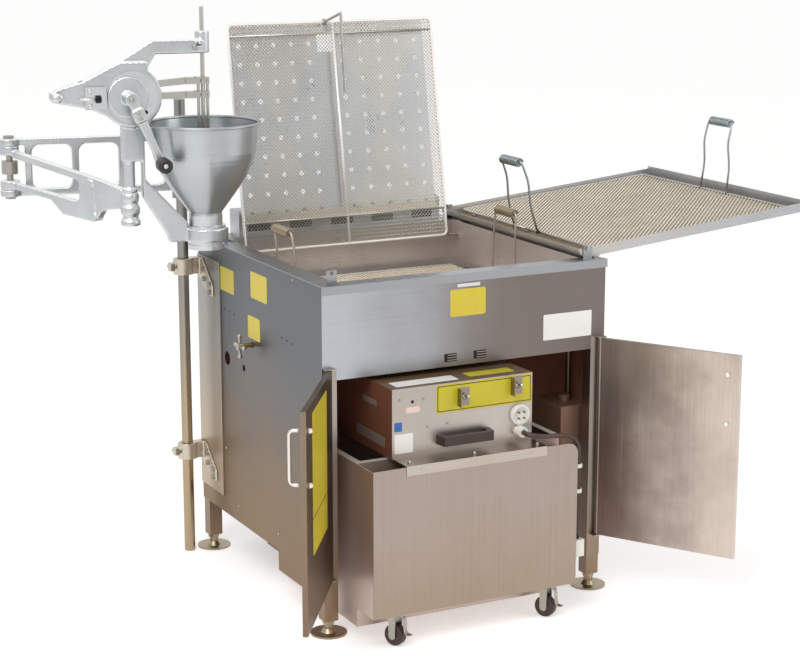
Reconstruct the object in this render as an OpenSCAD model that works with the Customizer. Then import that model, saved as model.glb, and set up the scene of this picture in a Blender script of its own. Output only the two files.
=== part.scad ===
// Donut fryer: a free-standing gas kettle with a drain tray, a submerger screen,
// a batter depositor on a two-link swing arm, and a roll-out filter cart.
// Millimetres and degrees. Pieces are drawn from the cabinet's front left corner on the floor
// (X right, Y back, Z up), then moved as one so the origin is the middle of the footprint.

/* [Cabinet] */
// Width of the cabinet across the front
cab_w = 830; // [800:1:880]
// Depth of the cabinet from front to back
cab_d = 823; // [800:1:880]
// Height of the rim above the floor
cab_h = 914; // [890:1:940]
// Thickness of the panel sheet
sheet = 2; // [1.5:0.1:2.5]
// Side of the square leg tube
leg_w = 38; // [34:1:42]
// Gap under the legs that the feet bridge
leg_lift = 38; // [30:1:50]
// Diameter of the foot discs
foot_d = 95; // [80:1:110]

/* [Kettle] */
// Inside width of the kettle
kettle_w = 716; // [700:1:730]
// Inside depth of the kettle from front to back
kettle_d = 690; // [675:1:700]
// Depth of the kettle below its rim
kettle_deep = 221; // [212:1:235]
// Thickness of the kettle wall
kettle_wall = 3; // [2:0.5:4]
// Diameter of the heat tubes
tube_d = 60; // [50:1:62]

/* [Doors] */
// Width of each door from its hinge pin
door_w = 398; // [385:1:399]
// Thickness of the doors
door_t = 13; // [12:0.5:14]
// How far the left door stands open
left_open = 124; // [100:1:130]
// How far the right door stands open
right_open = 121.5; // [100:0.5:130]

/* [Submerger] */
// Length of the submerger from its pivot
sub_len = 632; // [600:1:640]
// How far the raised submerger leans back
sub_lean = 10; // [8:1:14]

/* [Drain tray and screens] */
// Reach of the drain tray from its pivot
tray_reach = 715; // [690:5:760]
// Slope of the drain tray toward the kettle
tray_tilt = 5.5; // [4:0.5:7]
// Height of the lifting bails
bail_h = 205; // [195:1:215]
// Turns of each coil grip
coil_turns = 12; // [10:1:14]
// Pitch of the coil grips
coil_pitch = 8; // [7:0.5:8.5]

/* [Filter cart] */
// Width of the filter cart
cart_w = 592; // [570:1:600]
// How far the cart stands out of the cabinet
cart_out = 165; // [150:1:200]
// Length of the cart's tank
tank_d = 480; // [440:5:520]
// Width of the control box
box_w = 405; // [390:1:420]
// Height of the control box
box_h = 181; // [170:1:190]
// Diameter of the cart's wheels
wheel_d = 56; // [50:1:60]

/* [Swing arm] */
// Diameter of the support pole
pole_d = 31; // [28:1:34]
// Height of the support pole
pole_h = 1304; // [1260:1:1340]
// Length of each swing link between its pins
arm_len = 466; // [440:1:490]
// Direction of the inner link, from the right
inner_angle = 166.2; // [160:0.1:175]
// Direction of the outer link, from the right
outer_angle = -65.8; // [-75:0.1:-60]

/* [Depositor] */
// Direction that the depositor faces
head_angle = -10; // [-20:0.5:0]
// Diameter of the hopper's rim
hopper_d = 283; // [270:1:290]
// Height of the hopper
hopper_h = 239; // [230:1:245]
// Stroke of the plunger over half a turn of the crank
stroke = 45; // [38:1:48]

/* [Hidden] */
$fn = 48;
// Overrun of every cut, running clearance and the clearance of a fixed piece in its hole
over = 1;
fit = 0.3;
snug = 0.15;
// A wire's bend is a little fuller than the wire
bend_swell_share = 1.03;

// Finishes
steel = [0.74, 0.75, 0.76];
warm_steel = [0.66, 0.62, 0.58];
dull_steel = [0.55, 0.52, 0.48];
cast = [0.79, 0.80, 0.80];
spun = [0.84, 0.84, 0.85];
zinc = [0.68, 0.66, 0.62];
dark = [0.16, 0.14, 0.13];
brown = [0.24, 0.15, 0.11];
white = [0.90, 0.90, 0.88];
brass = [0.72, 0.60, 0.34];

// Cabinet shell
rim_t = 2;
panel_top = cab_h - rim_t;
leg_wall = 2.5;
leg_plug = 12;
side_low = 91;
side_high = 146;
side_step = 287;
side_hole_r = 19;
side_hole_y = 621;
side_hole_z = 602;
side_spy_r = 9.5;
side_spy_y = 504;
side_spy_z = 599;
foot_disc_t = 5;
foot_cone_h = 10;
foot_cone_r = 20;
foot_stem_r = 12.5;
foot_nut_r = 17;
foot_nut_h = 9;
foot_stem_up = 16;

// Apron with its recessed lip and vent slots
apron_h = 205;
apron_z = panel_top - apron_h;
lip_h = 36;
lip_lap = 2;
vent_w = 6;
vent_h = 13;
vent_pitch = 13;
vent_count = 3;
vent_rise = 18;
vent_places = [348, 434];

// Kettle
rim_front = 45;
kettle_r = 1.5;
kettle_x0 = (cab_w - kettle_w) / 2;
kettle_x1 = kettle_x0 + kettle_w;
kettle_y0 = rim_front;
kettle_y1 = kettle_y0 + kettle_d;
kettle_z0 = cab_h - kettle_deep;
kettle_under = kettle_z0 - kettle_wall;
skirt_out = 3;
skirt_t = 2;
skirt_h = 22;
end_out = 4;
end_len = 21;

// Heat tubes, burner and gas control
screen_drop = 124;
rod_r = 4;
screen_z = cab_h - screen_drop;
tube_r = tube_d / 2;
tube_wall = 3;
tube_count = 4;
tube_z = screen_z - rod_r - fit - tube_r;
function tube_y(i) = kettle_y0 + kettle_d * (i + 1 / 2) / tube_count;
manifold_r = 13;
manifold_x = (kettle_x1 + kettle_wall + cab_w - sheet) / 2;
manifold_end = 24;
nozzle_r = 10;
nozzle_flange_r = 34;
nozzle_flange_t = 4;
feed_r = 8;
gas_w = 93;
gas_d = 148;
gas_h = 105;
gas_top = 505;
gas_knob_r = 15;
gas_knob_h = 18;

// Drain valve and its handle
drain_x = 100;
drain_y = 445;
drain_bore_r = 15;
drain_flange_r = 28;
drain_flange_t = 4;
drain_body_r = 20;
drain_drop = 72;
drain_stem_r = 6;
drain_stem_drop = 14;
drain_stem_out = 38;
drain_hole_r = 9;
drain_stem_z = kettle_under - drain_stem_drop;
spoke_r = 4;
spoke_len = 17;
spoke_ball_r = 6.5;
drain_hub_r = 11;
drain_hub_h = 15;
drain_socket = 10;

// Doors, their pins and pulls
hinge_in = 15;
hinge_out = 8;
door_r = door_t / 2;
door_skin = 1.5;
door_liner = 1.2;
door_gap = 4;
door_top = apron_z - door_gap;
door_low = 155;
pin_r = 3;
pin_len = 24;
pin_room = 2;
hinge_tab_t = 2.5;
hinge_tab_half = 13;
hinge_tab_front = 9;
pull_in = 32;
pull_low = 518;
pull_len = 132;
pull_out = 32;
pull_r = 4.5;
pull_nut_r = 6.5;
pull_nut_h = 4;

// Tabs on the rim and hooks for the submerger
tab_w = 27;
tab_t = 3;
tab_hole_up = 27;
tab_over = 7;
tab_in = 40;
tab_front = 26;
tab_back = 25;
tab_left_back = 95;
pivot_x = cab_w - tab_in;
pivot_z = cab_h + tab_hole_up;
pivot_r = 5;
hook_w = 24;
hook_t = 3;
hook_drop = 50;
hook_lap = 10;
sub_y = kettle_y1 - 35;
sub_z = cab_h - 37;

// Pole, its plate and clamps
pole_r = pole_d / 2;
pole_wall = 3;
pole_out = 55;
pole_back = 23;
pole_x = -pole_out;
pole_y = cab_d - pole_back;
plate_t = 4;
plate_w = 164;
plate_z0 = 195;
plate_z1 = 865;
clamp_zs = [836, 300];
clamp_r = 28;
clamp_h = 46;
clamp_arm_half = 15;
pad_t = 6;
pad_w = 118;
pad_h = 98;
pad_shares = [[0.15, 0.235], [0.15, -0.235], [-0.6, -0.765], [-0.85, -0.765], [-0.85, -0.46], [-0.2, 0.235]];
pad_bolt_shares = [[-0.33, -0.05], [-0.33, -0.35], [-0.72, -0.42], [-0.72, -0.66]];
clamp_lug = 14;
clamp_lug_half = 11;
clamp_slit = 3;
bolt_r = 4;
bolt_head_r = 7;
bolt_head_h = 5;
collar_r = 26;
collar_h = 20;

// Swing links
link_h = 158;
link_z = 1051;
link_t = 22;
chord_h = 19;
window_s = 44;
window_w = 108;
window_pitch = 127;
window_count = 3;
window_r = 22;
boss_r = 28;
knuckle_r = 28;
knuckle_h = 25;
elbow_r = 9;
elbow_clear = 42;
elbow_head_r = 15;
elbow_head_h = 7;
block_r = 22;
block_h = 35;
outer_top_shares = [[0, 0.82], [0.74, 0.51], [0.95, 0.39]];
outer_low_shares = [[0.94, 0.06], [0.84, 0.02], [0.79, -0.02], [0.755, -0.16], [0.7, -0.22], [0.47, -0.17],
                    [0.37, 0.05], [0.08, 0.127], [0, 0.127]];
outer_window_shares = [[-0.2, 0.79], [0.61, 0.44], [0.61, 0.075], [-0.2, 0.33]];
outer_window_r = 14;
outer_rib_shares = [[0.69, -0.15], [0.695, 0.1], [0.66, 0.36], [0.69, 0.48], [0.735, 0.47], [0.725, 0.36],
                    [0.745, 0.1], [0.735, -0.15]];
outer_rib_r = 6;
outer_r = 9;
lobe_r = 14;
lobe_stand = 5;
rib_stand = 4;
lobe_share = 0.72;
lobe_z_share = -0.13;
shaft_boss_r = 26;
shaft_boss_z = 1020;
shaft_boss_h = 86;
shaft_boss_shares = [[0, 0], [0.93, 0], [1, 0.05], [0.98, 0.13], [0.77, 0.24], [0.77, 0.29], [0.95, 0.38], [0.96, 0.55],
                     [0.74, 0.66], [0.74, 0.69], [0.88, 0.76], [0.88, 0.9], [0.78, 1], [0, 1]];
shaft_ring_h = 14;
shaft_room = 1;
elbow_x = pole_x + arm_len * cos(inner_angle);
elbow_y = pole_y + arm_len * sin(inner_angle);
shaft_x = elbow_x + arm_len * cos(outer_angle);
shaft_y = elbow_y + arm_len * sin(outer_angle);

// Depositor casting, seen along its own u (right) and z
shaft_r = 14.5;
shaft_low = 1030;
shaft_collar_r = 20;
shaft_collar_h = 10;
post_z = 1187;
post_t = 32;
crank_u = -4;
crank_z = 1354;
head_len = 188;
head_rise = 140;
head_t = 52;
head_r = 78;
head_shares = [[-1.02, 0.1], [-0.94, 0.17], [-0.59, 0.3], [-0.11, 0.62], [0.3, 0.62], [0.27, -0.46],
               [-0.09, -0.46], [-0.51, -0.2], [-0.96, -0.08], [-1.02, -0.06]];
upper_shares = [[-0.11, 0.62], [0.36, 1], [1.06, 1], [1.06, 0.75], [0.41, 0.75], [0.24, 0.4]];
post_shares = [[-0.08, -0.3], [0.23, -0.3], [0.23, -1.53], [0.84, -2.42], [0.84, -2.73],
               [0.55, -2.73], [0.52, -2.6], [0.19, -1.86], [0.19, -1.195], [-0.08, -1.195]];
outline_r = 8;
slot_t = 27;
slot_shares = [[-1.2, -0.2], [-1.2, 0.24], [0.55, 0.38], [0.55, -0.4]];
tip_share = -0.93;
tip_z = crank_z + 2;
tip_r = 5;
tip_head_r = 9;
tip_head_h = 4;
axis_u = 197;
rod_boss_r = 18.5;
rod_boss_h = 56;
rod_boss_z = 1460;
thumb_r = 7;
thumb_len = 24;
clamp_ring_r = 54;
clamp_ring_z = 972;
clamp_ring_h = 34;
cover_r = 66;
cover_t = 4;
cover_u = 8;
cover_block_h = 58;
cover_block_t = 9;
cover_block_u = -112;
cover_block_gap = 2;
cover_screw_r = 5;
cover_screw_h = 3;
cover_screws = 5;
cover_turn = 24;

// Crank and its knob
stub_r = 12;
disc_r = 52;
disc_t = 10;
disc_gap = 0.5;
hub_r = 17;
hub_len = 46;
arm_t = 12;
arm_wide = 13;
arm_thin = 9;
arm_block_len = 34;
arm_block_w = 32;
arm_block_t = 24;
arm_block_share = 0.24;
knob_u = 69;
knob_z = 1189;
knob_r = 19;
knob_len = 44;
knob_stud_r = 6;
knob_round = 7;

// Levers and plunger
lever_t = 16;
lever_h = 17;
fork_t = 4;
fork_half = 13;
fork_back = 46;
fork_ahead = 11;
fork_root = 22;
lever_up = 35;
lever_zero = -1;
lever_boss_r = 15;
lever_slot = 4;
lever_play = 1;
lever_arm = axis_u - (crank_u + tip_share * head_len);
lever_drop = asin(stroke / lever_arm);
link_pin_r = 4;
link_head_r = 7;
link_head_h = 2.5;
crosshead_half = 16;
crosshead_t = 16;
side_rod_r = 4;
side_rod_out = 12;
main_rod_r = 5.5;
main_rod_top = 1577;
spider_r = 22;
spider_z = 1056;
spider_t = 7;
piston_t = 15;
piston_z = 1000;

// Hopper and forming cylinder
cyl_r = 44;
cyl_wall = 5;
cyl_low = 950;
cyl_h = 90;
cyl_flange_r = 52;
cyl_flange_t = 6;
cyl_foot_r = 47;
cyl_foot_t = 12;
hopper_z = cyl_low + cyl_h;
hopper_wall = 2;
hopper_neck_r = 43;
hopper_neck_h = 6;
hopper_lip_r = 4;
shoulder_r = 136;
shoulder_share = 0.56;
bend_share = 0.42;
bend_steps = 8;

// Drain tray
tray_t = 1.5;
gutter_r = 25;
tray_side_up = 1;
tray_end_up = 9;
tray_y0 = tab_front + tab_t + over;
tray_y1 = cab_d - tab_back - tab_t - over;
stop_s = 20;
stop_len = 18;
stop_w = 60;
stop_depth = (tab_hole_up + stop_s * sin(tray_tilt) - fit) / cos(tray_tilt);

// Screens, bails and coil grips
drain_s0 = 38;
drain_end = 30;
drain_side = 10;
runner_in = 70;
net_t = 2;
net_bar = 3;
net_rows = 16;
net_cols = 18;
sub_net_rows = 14;
sub_net_cols = 14;
bail_r = 3;
bail_foot = 64;
bail_top = 56;
bail_eye_r = 7.5;
bail_eye_w = 10;
bail_lean = 40;
bail_lean_near = 32;
fry_lean = 18;
fry_lean_near = 8;
bail_shares = [[0.45, 0.36], [0.46, 0.71]];
fry_side = 30;
fry_front = 33;
fry_back = 49;
coil_r = 10;
coil_wire = 4.5;
coil_rings = 8;
coil_sides = 6;

// Submerger
sub_left = 38;
sub_right = 40;
sub_rib_share = 0.504;
sub_low = 80;
sub_high = 32;
plate_back = 18;
plate_thin = 1.5;
plate_lip = 22;
plate_bridge_share = 0.86;
plate_left_shares = [0.014, 0.434];
plate_right_shares = [0.51, 0.967];
plate_hole_r = 7;
plate_cols = 5;
plate_rows = 10;
handle_share = 0.466;
handle_eye_r = 9;
handle_eye_w = 9;
handle_ahead = 109;
handle_up = 31;
handle_drop = 215;
handle_lead = 24;

// Filter cart
cart_x = 58;
cart_front_t = 2;
cart_low = 93;
cart_top = 475;
cart_corner_r = 30;
tank_low = 42;
tank_t = 2;
tank_top = 473;
nose = 91;
tail = 91;
tank_flange = 18;
front_y = -cart_out;
tank_y = front_y + cart_front_t + nose;
tank_y1 = tank_y + tank_d;
tail_y1 = tank_y1 + tail;
cheek_top_right = 440;
base_x = 150;
base_t = 3;
base_over = 9;
base_lip_h = 22;
base_lip_t = 2;
stud_r = 5;
stud_h = 9;
stud_in = 18;
box_x = 143;
box_y = 65;
box_d = 330;
box_t = 1.5;
box_z = cart_top + base_t;
box_front = front_y + box_y;
box_grip_x = 266;
box_grip_len = 158;
box_grip_z = 38;
box_grip_out = 36;
box_grip_h = 24;
box_grip_bar = 13;
box_grip_foot = 18;
box_grip_slant = 7;
box_grip_round = 6;
recept_x = 510;
recept_up = 74;
recept_r = 27;
recept_t = 9;
gland_x = 508;
gland_up = 32;
gland_r = 14;
gland_len = 26;
lead_r = 6.5;
lead_sides = 10;
lead_off = 18;
lead_x = cart_x + cart_w + lead_off;
lead_y = -140;
lead_low = 205;
function lead_run(share) = gland_x + (lead_x - gland_x) * share;
lead_points = [[gland_x, box_front - gland_len, box_z + gland_up], [gland_x, -138, 509],
               [lead_run(0.0375), -150, 508], [lead_run(0.125), -159, 506], [lead_run(0.25), -162, 503],
               [lead_run(0.41875), -160, 500], [lead_run(0.5875), -156, 497], [lead_run(0.75), -150, 492],
               [lead_run(0.875), -145, 483], [lead_run(0.95625), -142, 468], [lead_run(0.99375), -140, 448],
               [lead_x, lead_y, 420],
               [lead_x, lead_y, 390], [lead_x, lead_y, 345], [lead_x, lead_y, 300], [lead_x, lead_y, 250],
               [lead_x, lead_y, lead_low]];
clip_zs = [404, 336];
clip_h = 10;
clip_r = 10;
lead_box_h = 46;
lead_box_d = 34;
lead_box_out = 12;
guard_places = [[345, 141], [500, 152]];
guard_plate_w = 34;
guard_plate_h = 46;
guard_t = 2;
guard_wing = 22;
bush_r = 9;
bush_len = 8;
ball_r = 6;
ball_out = 4;
bat_len = 24;
bat_r = 2.5;
bat_tip_r = 4;
bat_lift = 15;
filter_z = 128;
filter_t = 3;
filter_edge = 24;
filter_leg_r = 6;
filter_hole_r = 8;
filter_rows = 5;
filter_cols = 7;
suction_r = 13;
suction_wall = 2;
suction_x = 350;
suction_y = 260;

// Casters and wheels
wheel_r = wheel_d / 2;
wheel_t = 24;
wheel_round = 5;
axle_r = 4;
caster_in = 74;
caster_ahead = 46;
trail = 12;
fork_top_r = 23;
fork_top_t = 6;
fork_cheek_t = 3;
fork_cheek_w = 20;
fork_side = wheel_t / 2 + 2;
king_r = 6;
king_nut_r = 11;
king_nut_h = 6;
brake_len = 26;
brake_w = 16;
brake_t = 3;
shelf_z = cart_low - tank_t;
left_turn = -62;
right_turn = -58;
rear_axle_r = 6;
rear_axle_y = tank_y1 + tail / 2;
rear_plate_t = 3;
rear_plate_half = 14;

// Middle of the footprint: from the elbow to the tray's end, and from the open doors to the elbow
tray_end_x = pivot_x + tray_reach * cos(tray_tilt) + gutter_r * sin(tray_tilt);
door_front = -hinge_out - door_w * max(sin(left_open), sin(right_open)) - door_r;
mid_x = (elbow_x - knuckle_r + tray_end_x) / 2;
mid_y = (elbow_y + knuckle_r + door_front) / 2;

// Shared shapes

module in_frame() translate([-mid_x, -mid_y, 0]) children();

// A rectangle with round corners, from the origin
module rrect(w, d, r) {
  translate([r, 0]) square([w - 2 * r, d]);
  translate([0, r]) square([w, d - 2 * r]);
  for (x = [r, w - r], y = [r, d - r]) translate([x, y]) circle(r);
}

function unit(v) = v / norm(v);

// Points of a fillet at p, between its neighbours a and b
function fillet(p, a, b, r, steps) =
  let (u = unit(a - p), v = unit(b - p), half = acos(u * v) / 2, back = r / tan(half),
       c = p + unit(u + v) * r / sin(half), s = p + u * back - c, e = p + v * back - c,
       a0 = atan2(s.y, s.x), raw = atan2(e.y, e.x) - a0,
       sweep = raw > 180 ? raw - 360 : raw < -180 ? raw + 360 : raw)
  [for (i = [0 : steps]) c + r * [cos(a0 + sweep * i / steps), sin(a0 + sweep * i / steps)]];

// An outline with every corner filleted
function filleted(points, r, steps = 4) =
  let (n = len(points))
  [for (i = [0 : n - 1]) each fillet(points[i], points[(i + n - 1) % n], points[(i + 1) % n], r, steps)];

function scaled(shares, w, h) = [for (p = shares) [p.x * w, p.y * h]];
function moved(points, x, y) = [for (p = points) p + [x, y]];

// An upright sheet: the outline's own plane becomes X and Z, centred on Y
module upright(t) rotate([90, 0, 0]) linear_extrude(t, center = true) children();
// The same with the outline's plane as Y and Z, from X zero
module sideways(t) rotate([90, 0, 90]) linear_extrude(t) children();

module along_x(r, h) rotate([0, 90, 0]) cylinder(r = r, h = h);
module along_y(r, h) rotate([-90, 0, 0]) cylinder(r = r, h = h);

module rod(a, b, r) {
  d = b - a;
  translate(a) rotate([0, acos(d.z / norm(d)), atan2(d.y, d.x)]) cylinder(r = r, h = norm(d));
}

// A bent wire through the points, with round bends
module wire(points, r) {
  for (i = [0 : len(points) - 2]) rod(points[i], points[i + 1], r);
  for (i = [1 : len(points) - 2]) translate(points[i]) sphere(r * bend_swell_share);
}

// A tube over rings of points, its skin in triangles and its ends flat
module skin(rings) {
  n = len(rings);
  m = len(rings[0]);
  sides = [for (i = [0 : n - 2], j = [0 : m - 1])
    let (a = i * m + j, b = i * m + (j + 1) % m) each [[a, b, a + m], [b, b + m, a + m]]];
  near = [for (j = [1 : m - 2]) [0, j + 1, j]];
  far = [for (j = [1 : m - 2]) [(n - 1) * m, (n - 1) * m + j, (n - 1) * m + j + 1]];
  polyhedron([for (ring = rings) each ring], concat(sides, near, far));
}

// Cabinet

module side_panel(holes) sideways(sheet) difference() {
  polygon([[sheet, side_low], [side_step, side_low], [side_step, side_high], [cab_d, side_high],
           [cab_d, panel_top], [sheet, panel_top]]);
  for (h = holes) translate([h[0], h[1]]) circle(h[2]);
}

module left_side_panel() color(steel) in_frame()
  side_panel([[side_hole_y, side_hole_z, side_hole_r], [side_spy_y, side_spy_z, side_spy_r],
              [drain_y, drain_stem_z, drain_hole_r]]);

module right_side_panel() color(steel) in_frame() translate([cab_w - sheet, 0, 0]) side_panel([]);

module back_panel() color(steel) in_frame()
  translate([sheet, cab_d - sheet, side_high]) cube([cab_w - 2 * sheet, sheet, panel_top - side_high]);

module front_apron() color(warm_steel) in_frame() {
  translate([0, 0, apron_z]) cube([cab_w, sheet, apron_h]);
  translate([0, 3 / 2 * sheet, 0]) upright(sheet) difference() {
    translate([sheet + leg_w, apron_z + lip_lap - lip_h]) square([cab_w - 2 * (sheet + leg_w), lip_h]);
    for (x = vent_places, i = [0 : vent_count - 1])
      translate([x + i * vent_pitch, apron_z + lip_lap - lip_h + vent_rise]) square([vent_w, vent_h]);
  }
}

module at_corners()
  for (x = [sheet + leg_w / 2, cab_w - sheet - leg_w / 2], y = [sheet + leg_w / 2, cab_d - sheet - leg_w / 2])
    translate([x, y, 0]) children();

module corner_legs() color(warm_steel) in_frame() at_corners() difference() {
  translate([-leg_w / 2, -leg_w / 2, leg_lift]) cube([leg_w, leg_w, panel_top - leg_lift]);
  translate([leg_wall - leg_w / 2, leg_wall - leg_w / 2, leg_lift + leg_plug])
    cube([leg_w - 2 * leg_wall, leg_w - 2 * leg_wall, panel_top]);
  translate([0, 0, leg_lift - over]) cylinder(r = foot_stem_r + snug, h = leg_plug + 2 * over);
}

module levelling_feet() color(zinc) in_frame() at_corners() {
  cylinder(d = foot_d, h = foot_disc_t);
  translate([0, 0, foot_disc_t]) cylinder(r1 = foot_cone_r, r2 = foot_stem_r, h = foot_cone_h);
  cylinder(r = foot_stem_r, h = leg_lift + foot_stem_up);
  translate([0, 0, leg_lift - foot_nut_h]) cylinder(r = foot_nut_r, h = foot_nut_h, $fn = 6);
}

// Kettle and what heats and drains it

module kettle() color(steel) in_frame() difference() {
  union() {
    translate([kettle_x0 - kettle_wall, kettle_y0 - kettle_wall, kettle_under])
      linear_extrude(cab_h - kettle_under)
        rrect(kettle_w + 2 * kettle_wall, kettle_d + 2 * kettle_wall, kettle_r + kettle_wall);
    translate([0, -skirt_out, panel_top]) cube([cab_w, cab_d + skirt_out, rim_t]);
    translate([0, -skirt_out, cab_h - skirt_h]) cube([cab_w + end_out, skirt_t, skirt_h]);
    translate([cab_w, -skirt_out, panel_top]) cube([end_out, end_len, rim_t]);
    translate([cab_w + end_out - skirt_t, -skirt_out, cab_h - skirt_h]) cube([skirt_t, end_len, skirt_h]);
  }
  translate([kettle_x0, kettle_y0, kettle_z0]) linear_extrude(kettle_deep + over)
    rrect(kettle_w, kettle_d, kettle_r);
  for (i = [0 : tube_count - 1]) translate([kettle_x0 - kettle_wall - over, tube_y(i), tube_z])
    along_x(tube_r - tube_wall, kettle_w + 2 * (kettle_wall + over));
  translate([drain_x, drain_y, kettle_under - over]) cylinder(r = drain_bore_r, h = kettle_wall + 2 * over);
}

module heat_tubes() color(dull_steel) in_frame()
  for (i = [0 : tube_count - 1]) translate([kettle_x0, tube_y(i), tube_z]) difference() {
    along_x(tube_r, kettle_w);
    translate([-over, 0, 0]) along_x(tube_r - tube_wall, kettle_w + 2 * over);
  }

module gas_burner() color(dull_steel) in_frame() {
  translate([manifold_x, tube_y(0) - manifold_end, tube_z])
    along_y(manifold_r, tube_y(tube_count - 1) - tube_y(0) + 2 * manifold_end);
  for (i = [0 : tube_count - 1]) translate([kettle_x1 + kettle_wall, tube_y(i), tube_z]) {
    along_x(nozzle_flange_r, nozzle_flange_t);
    along_x(nozzle_r, manifold_x - kettle_x1 - kettle_wall);
  }
  translate([manifold_x, tube_y(0), gas_top]) cylinder(r = feed_r, h = tube_z - gas_top);
}

module gas_control_box() color(zinc) in_frame()
  translate([cab_w - sheet - gas_w, tube_y(0) - gas_d / 2, gas_top - gas_h]) {
    cube([gas_w, gas_d, gas_h]);
    translate([gas_w / 2, gas_d / 2 - gas_knob_r, gas_h]) cylinder(r = gas_knob_r, h = gas_knob_h);
  }

module drain_valve() color(brass) in_frame() difference() {
  translate([drain_x, drain_y, 0]) {
    translate([0, 0, kettle_under - drain_flange_t]) cylinder(r = drain_flange_r, h = drain_flange_t);
    translate([0, 0, kettle_under - drain_drop]) cylinder(r = drain_body_r, h = drain_drop);
    translate([-drain_x - drain_stem_out, 0, drain_stem_z]) along_x(drain_stem_r, drain_x + drain_stem_out);
  }
  translate([drain_x, drain_y, kettle_under - drain_drop - over])
    cylinder(r = drain_bore_r, h = drain_drop - 2 * drain_stem_drop);
}

module drain_handle() color(zinc) in_frame()
  translate([-drain_stem_out - drain_hub_h + drain_socket, drain_y, drain_stem_z]) difference() {
    union() {
      along_x(drain_hub_r, drain_hub_h);
      for (a = [0 : 90 : 270]) rotate([a, 0, 0]) translate([drain_hub_h / 2, 0, 0]) {
        cylinder(r = spoke_r, h = drain_hub_r + spoke_len);
        translate([0, 0, drain_hub_r + spoke_len]) sphere(spoke_ball_r);
      }
    }
    translate([drain_hub_h - drain_socket - fit, 0, 0]) along_x(drain_stem_r + fit, drain_hub_h);
  }

// Brackets, pole and fasteners on the cabinet

module at_hinges() {
  translate([hinge_in, -hinge_out, 0]) children();
  translate([cab_w - hinge_in, -hinge_out, 0]) children();
}

module hinge_brackets() color(zinc) in_frame() at_hinges() {
  translate([-hinge_tab_half, -hinge_tab_front, apron_z - hinge_tab_t])
    cube([2 * hinge_tab_half, hinge_tab_front + hinge_out + sheet, hinge_tab_t]);
  translate([0, 0, apron_z - pin_len]) cylinder(r = pin_r, h = pin_len);
  translate([-hinge_tab_half, -hinge_tab_front, door_low - over - hinge_tab_t])
    cube([2 * hinge_tab_half, hinge_tab_front + hinge_out + sheet, hinge_tab_t]);
  translate([0, 0, door_low - over - hinge_tab_t]) cylinder(r = pin_r, h = pin_len);
}

module rim_tab() upright(tab_t) difference() {
  translate([-tab_w / 2, 0]) square([tab_w, tab_hole_up + tab_over]);
  translate([0, tab_hole_up]) circle(pivot_r + snug);
}

module sub_hook() difference() {
  union() {
    translate([0, sub_y - hook_w / 2, cab_h - hook_drop]) cube([hook_t, hook_w, hook_drop + hook_t]);
    translate([-hook_lap, sub_y - hook_w / 2, cab_h]) cube([hook_lap + hook_t, hook_w, hook_t]);
  }
  translate([-over, sub_y, sub_z]) along_x(rod_r + fit, hook_t + 2 * over);
}

module rim_brackets() color(steel) in_frame() {
  for (p = [[pivot_x, tab_front + tab_t / 2], [pivot_x, cab_d - tab_back - tab_t / 2],
            [tab_in, tab_front + tab_t / 2], [tab_in, cab_d - tab_left_back]])
    translate([p.x, p.y, cab_h]) rim_tab();
  translate([kettle_x0, 0, 0]) sub_hook();
  translate([kettle_x1, 0, 0]) mirror([1, 0, 0]) sub_hook();
}

module at_pad_bolts() for (z = clamp_zs, p = scaled(pad_bolt_shares, pad_w, pad_h))
  translate([-plate_t - pad_t, pole_y + p.x, z + p.y]) children();

module pole_mount_plate() color(steel) in_frame() difference() {
  translate([-plate_t, cab_d - plate_w, plate_z0]) cube([plate_t, plate_w, plate_z1 - plate_z0]);
  at_pad_bolts() along_x(bolt_r + snug, pad_t + plate_t + over);
}

module pole_clamps() color(cast) in_frame() difference() {
  for (z = clamp_zs) translate([0, pole_y, z]) {
    translate([-plate_t - pad_t, 0, 0]) sideways(pad_t) polygon(scaled(pad_shares, pad_w, pad_h));
    translate([pole_x, -clamp_arm_half, -clamp_h / 2])
      cube([pole_out - plate_t, 2 * clamp_arm_half, clamp_h]);
    translate([pole_x, 0, -clamp_h / 2]) cylinder(r = clamp_r, h = clamp_h);
    translate([pole_x - clamp_r - clamp_lug, -clamp_lug_half, -clamp_h / 4])
      cube([clamp_r + clamp_lug, 2 * clamp_lug_half, clamp_h / 2]);
  }
  translate([pole_x, pole_y, 0]) cylinder(r = pole_r + snug, h = pole_h);
  for (z = clamp_zs) translate([pole_x - clamp_r - clamp_lug - over, pole_y - clamp_slit / 2, z - clamp_h])
    cube([clamp_r + clamp_lug, clamp_slit, 2 * clamp_h]);
  for (z = clamp_zs) translate([pole_x - clamp_r - clamp_lug / 2, pole_y - clamp_lug_half - over, z])
    along_y(bolt_r + snug, 2 * (clamp_lug_half + over));
  at_pad_bolts() along_x(bolt_r + snug, pad_t + over);
}

// A bolt along X from its seat, with its head toward the left
module bolt_x(r, len) {
  translate([-bolt_head_h, 0, 0]) along_x(bolt_head_r, bolt_head_h);
  along_x(r, len);
}

module cabinet_bolts() color(zinc) in_frame() {
  at_pad_bolts() bolt_x(bolt_r, pad_t + plate_t);
  for (z = clamp_zs) translate([pole_x - clamp_r - clamp_lug / 2, pole_y - clamp_lug_half, z]) {
    rotate([0, 0, 90]) bolt_x(bolt_r, 2 * clamp_lug_half);
    translate([0, 2 * clamp_lug_half, 0]) along_y(bolt_head_r, bolt_head_h);
  }
  translate([pivot_x, tab_front, pivot_z]) rotate([0, 0, 90])
    bolt_x(pivot_r, tab_t + over + 4 * tray_t);
  translate([pivot_x, cab_d - tab_back, pivot_z]) rotate([0, 0, -90])
    bolt_x(pivot_r, tab_t + over + 4 * tray_t);
}

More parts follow.
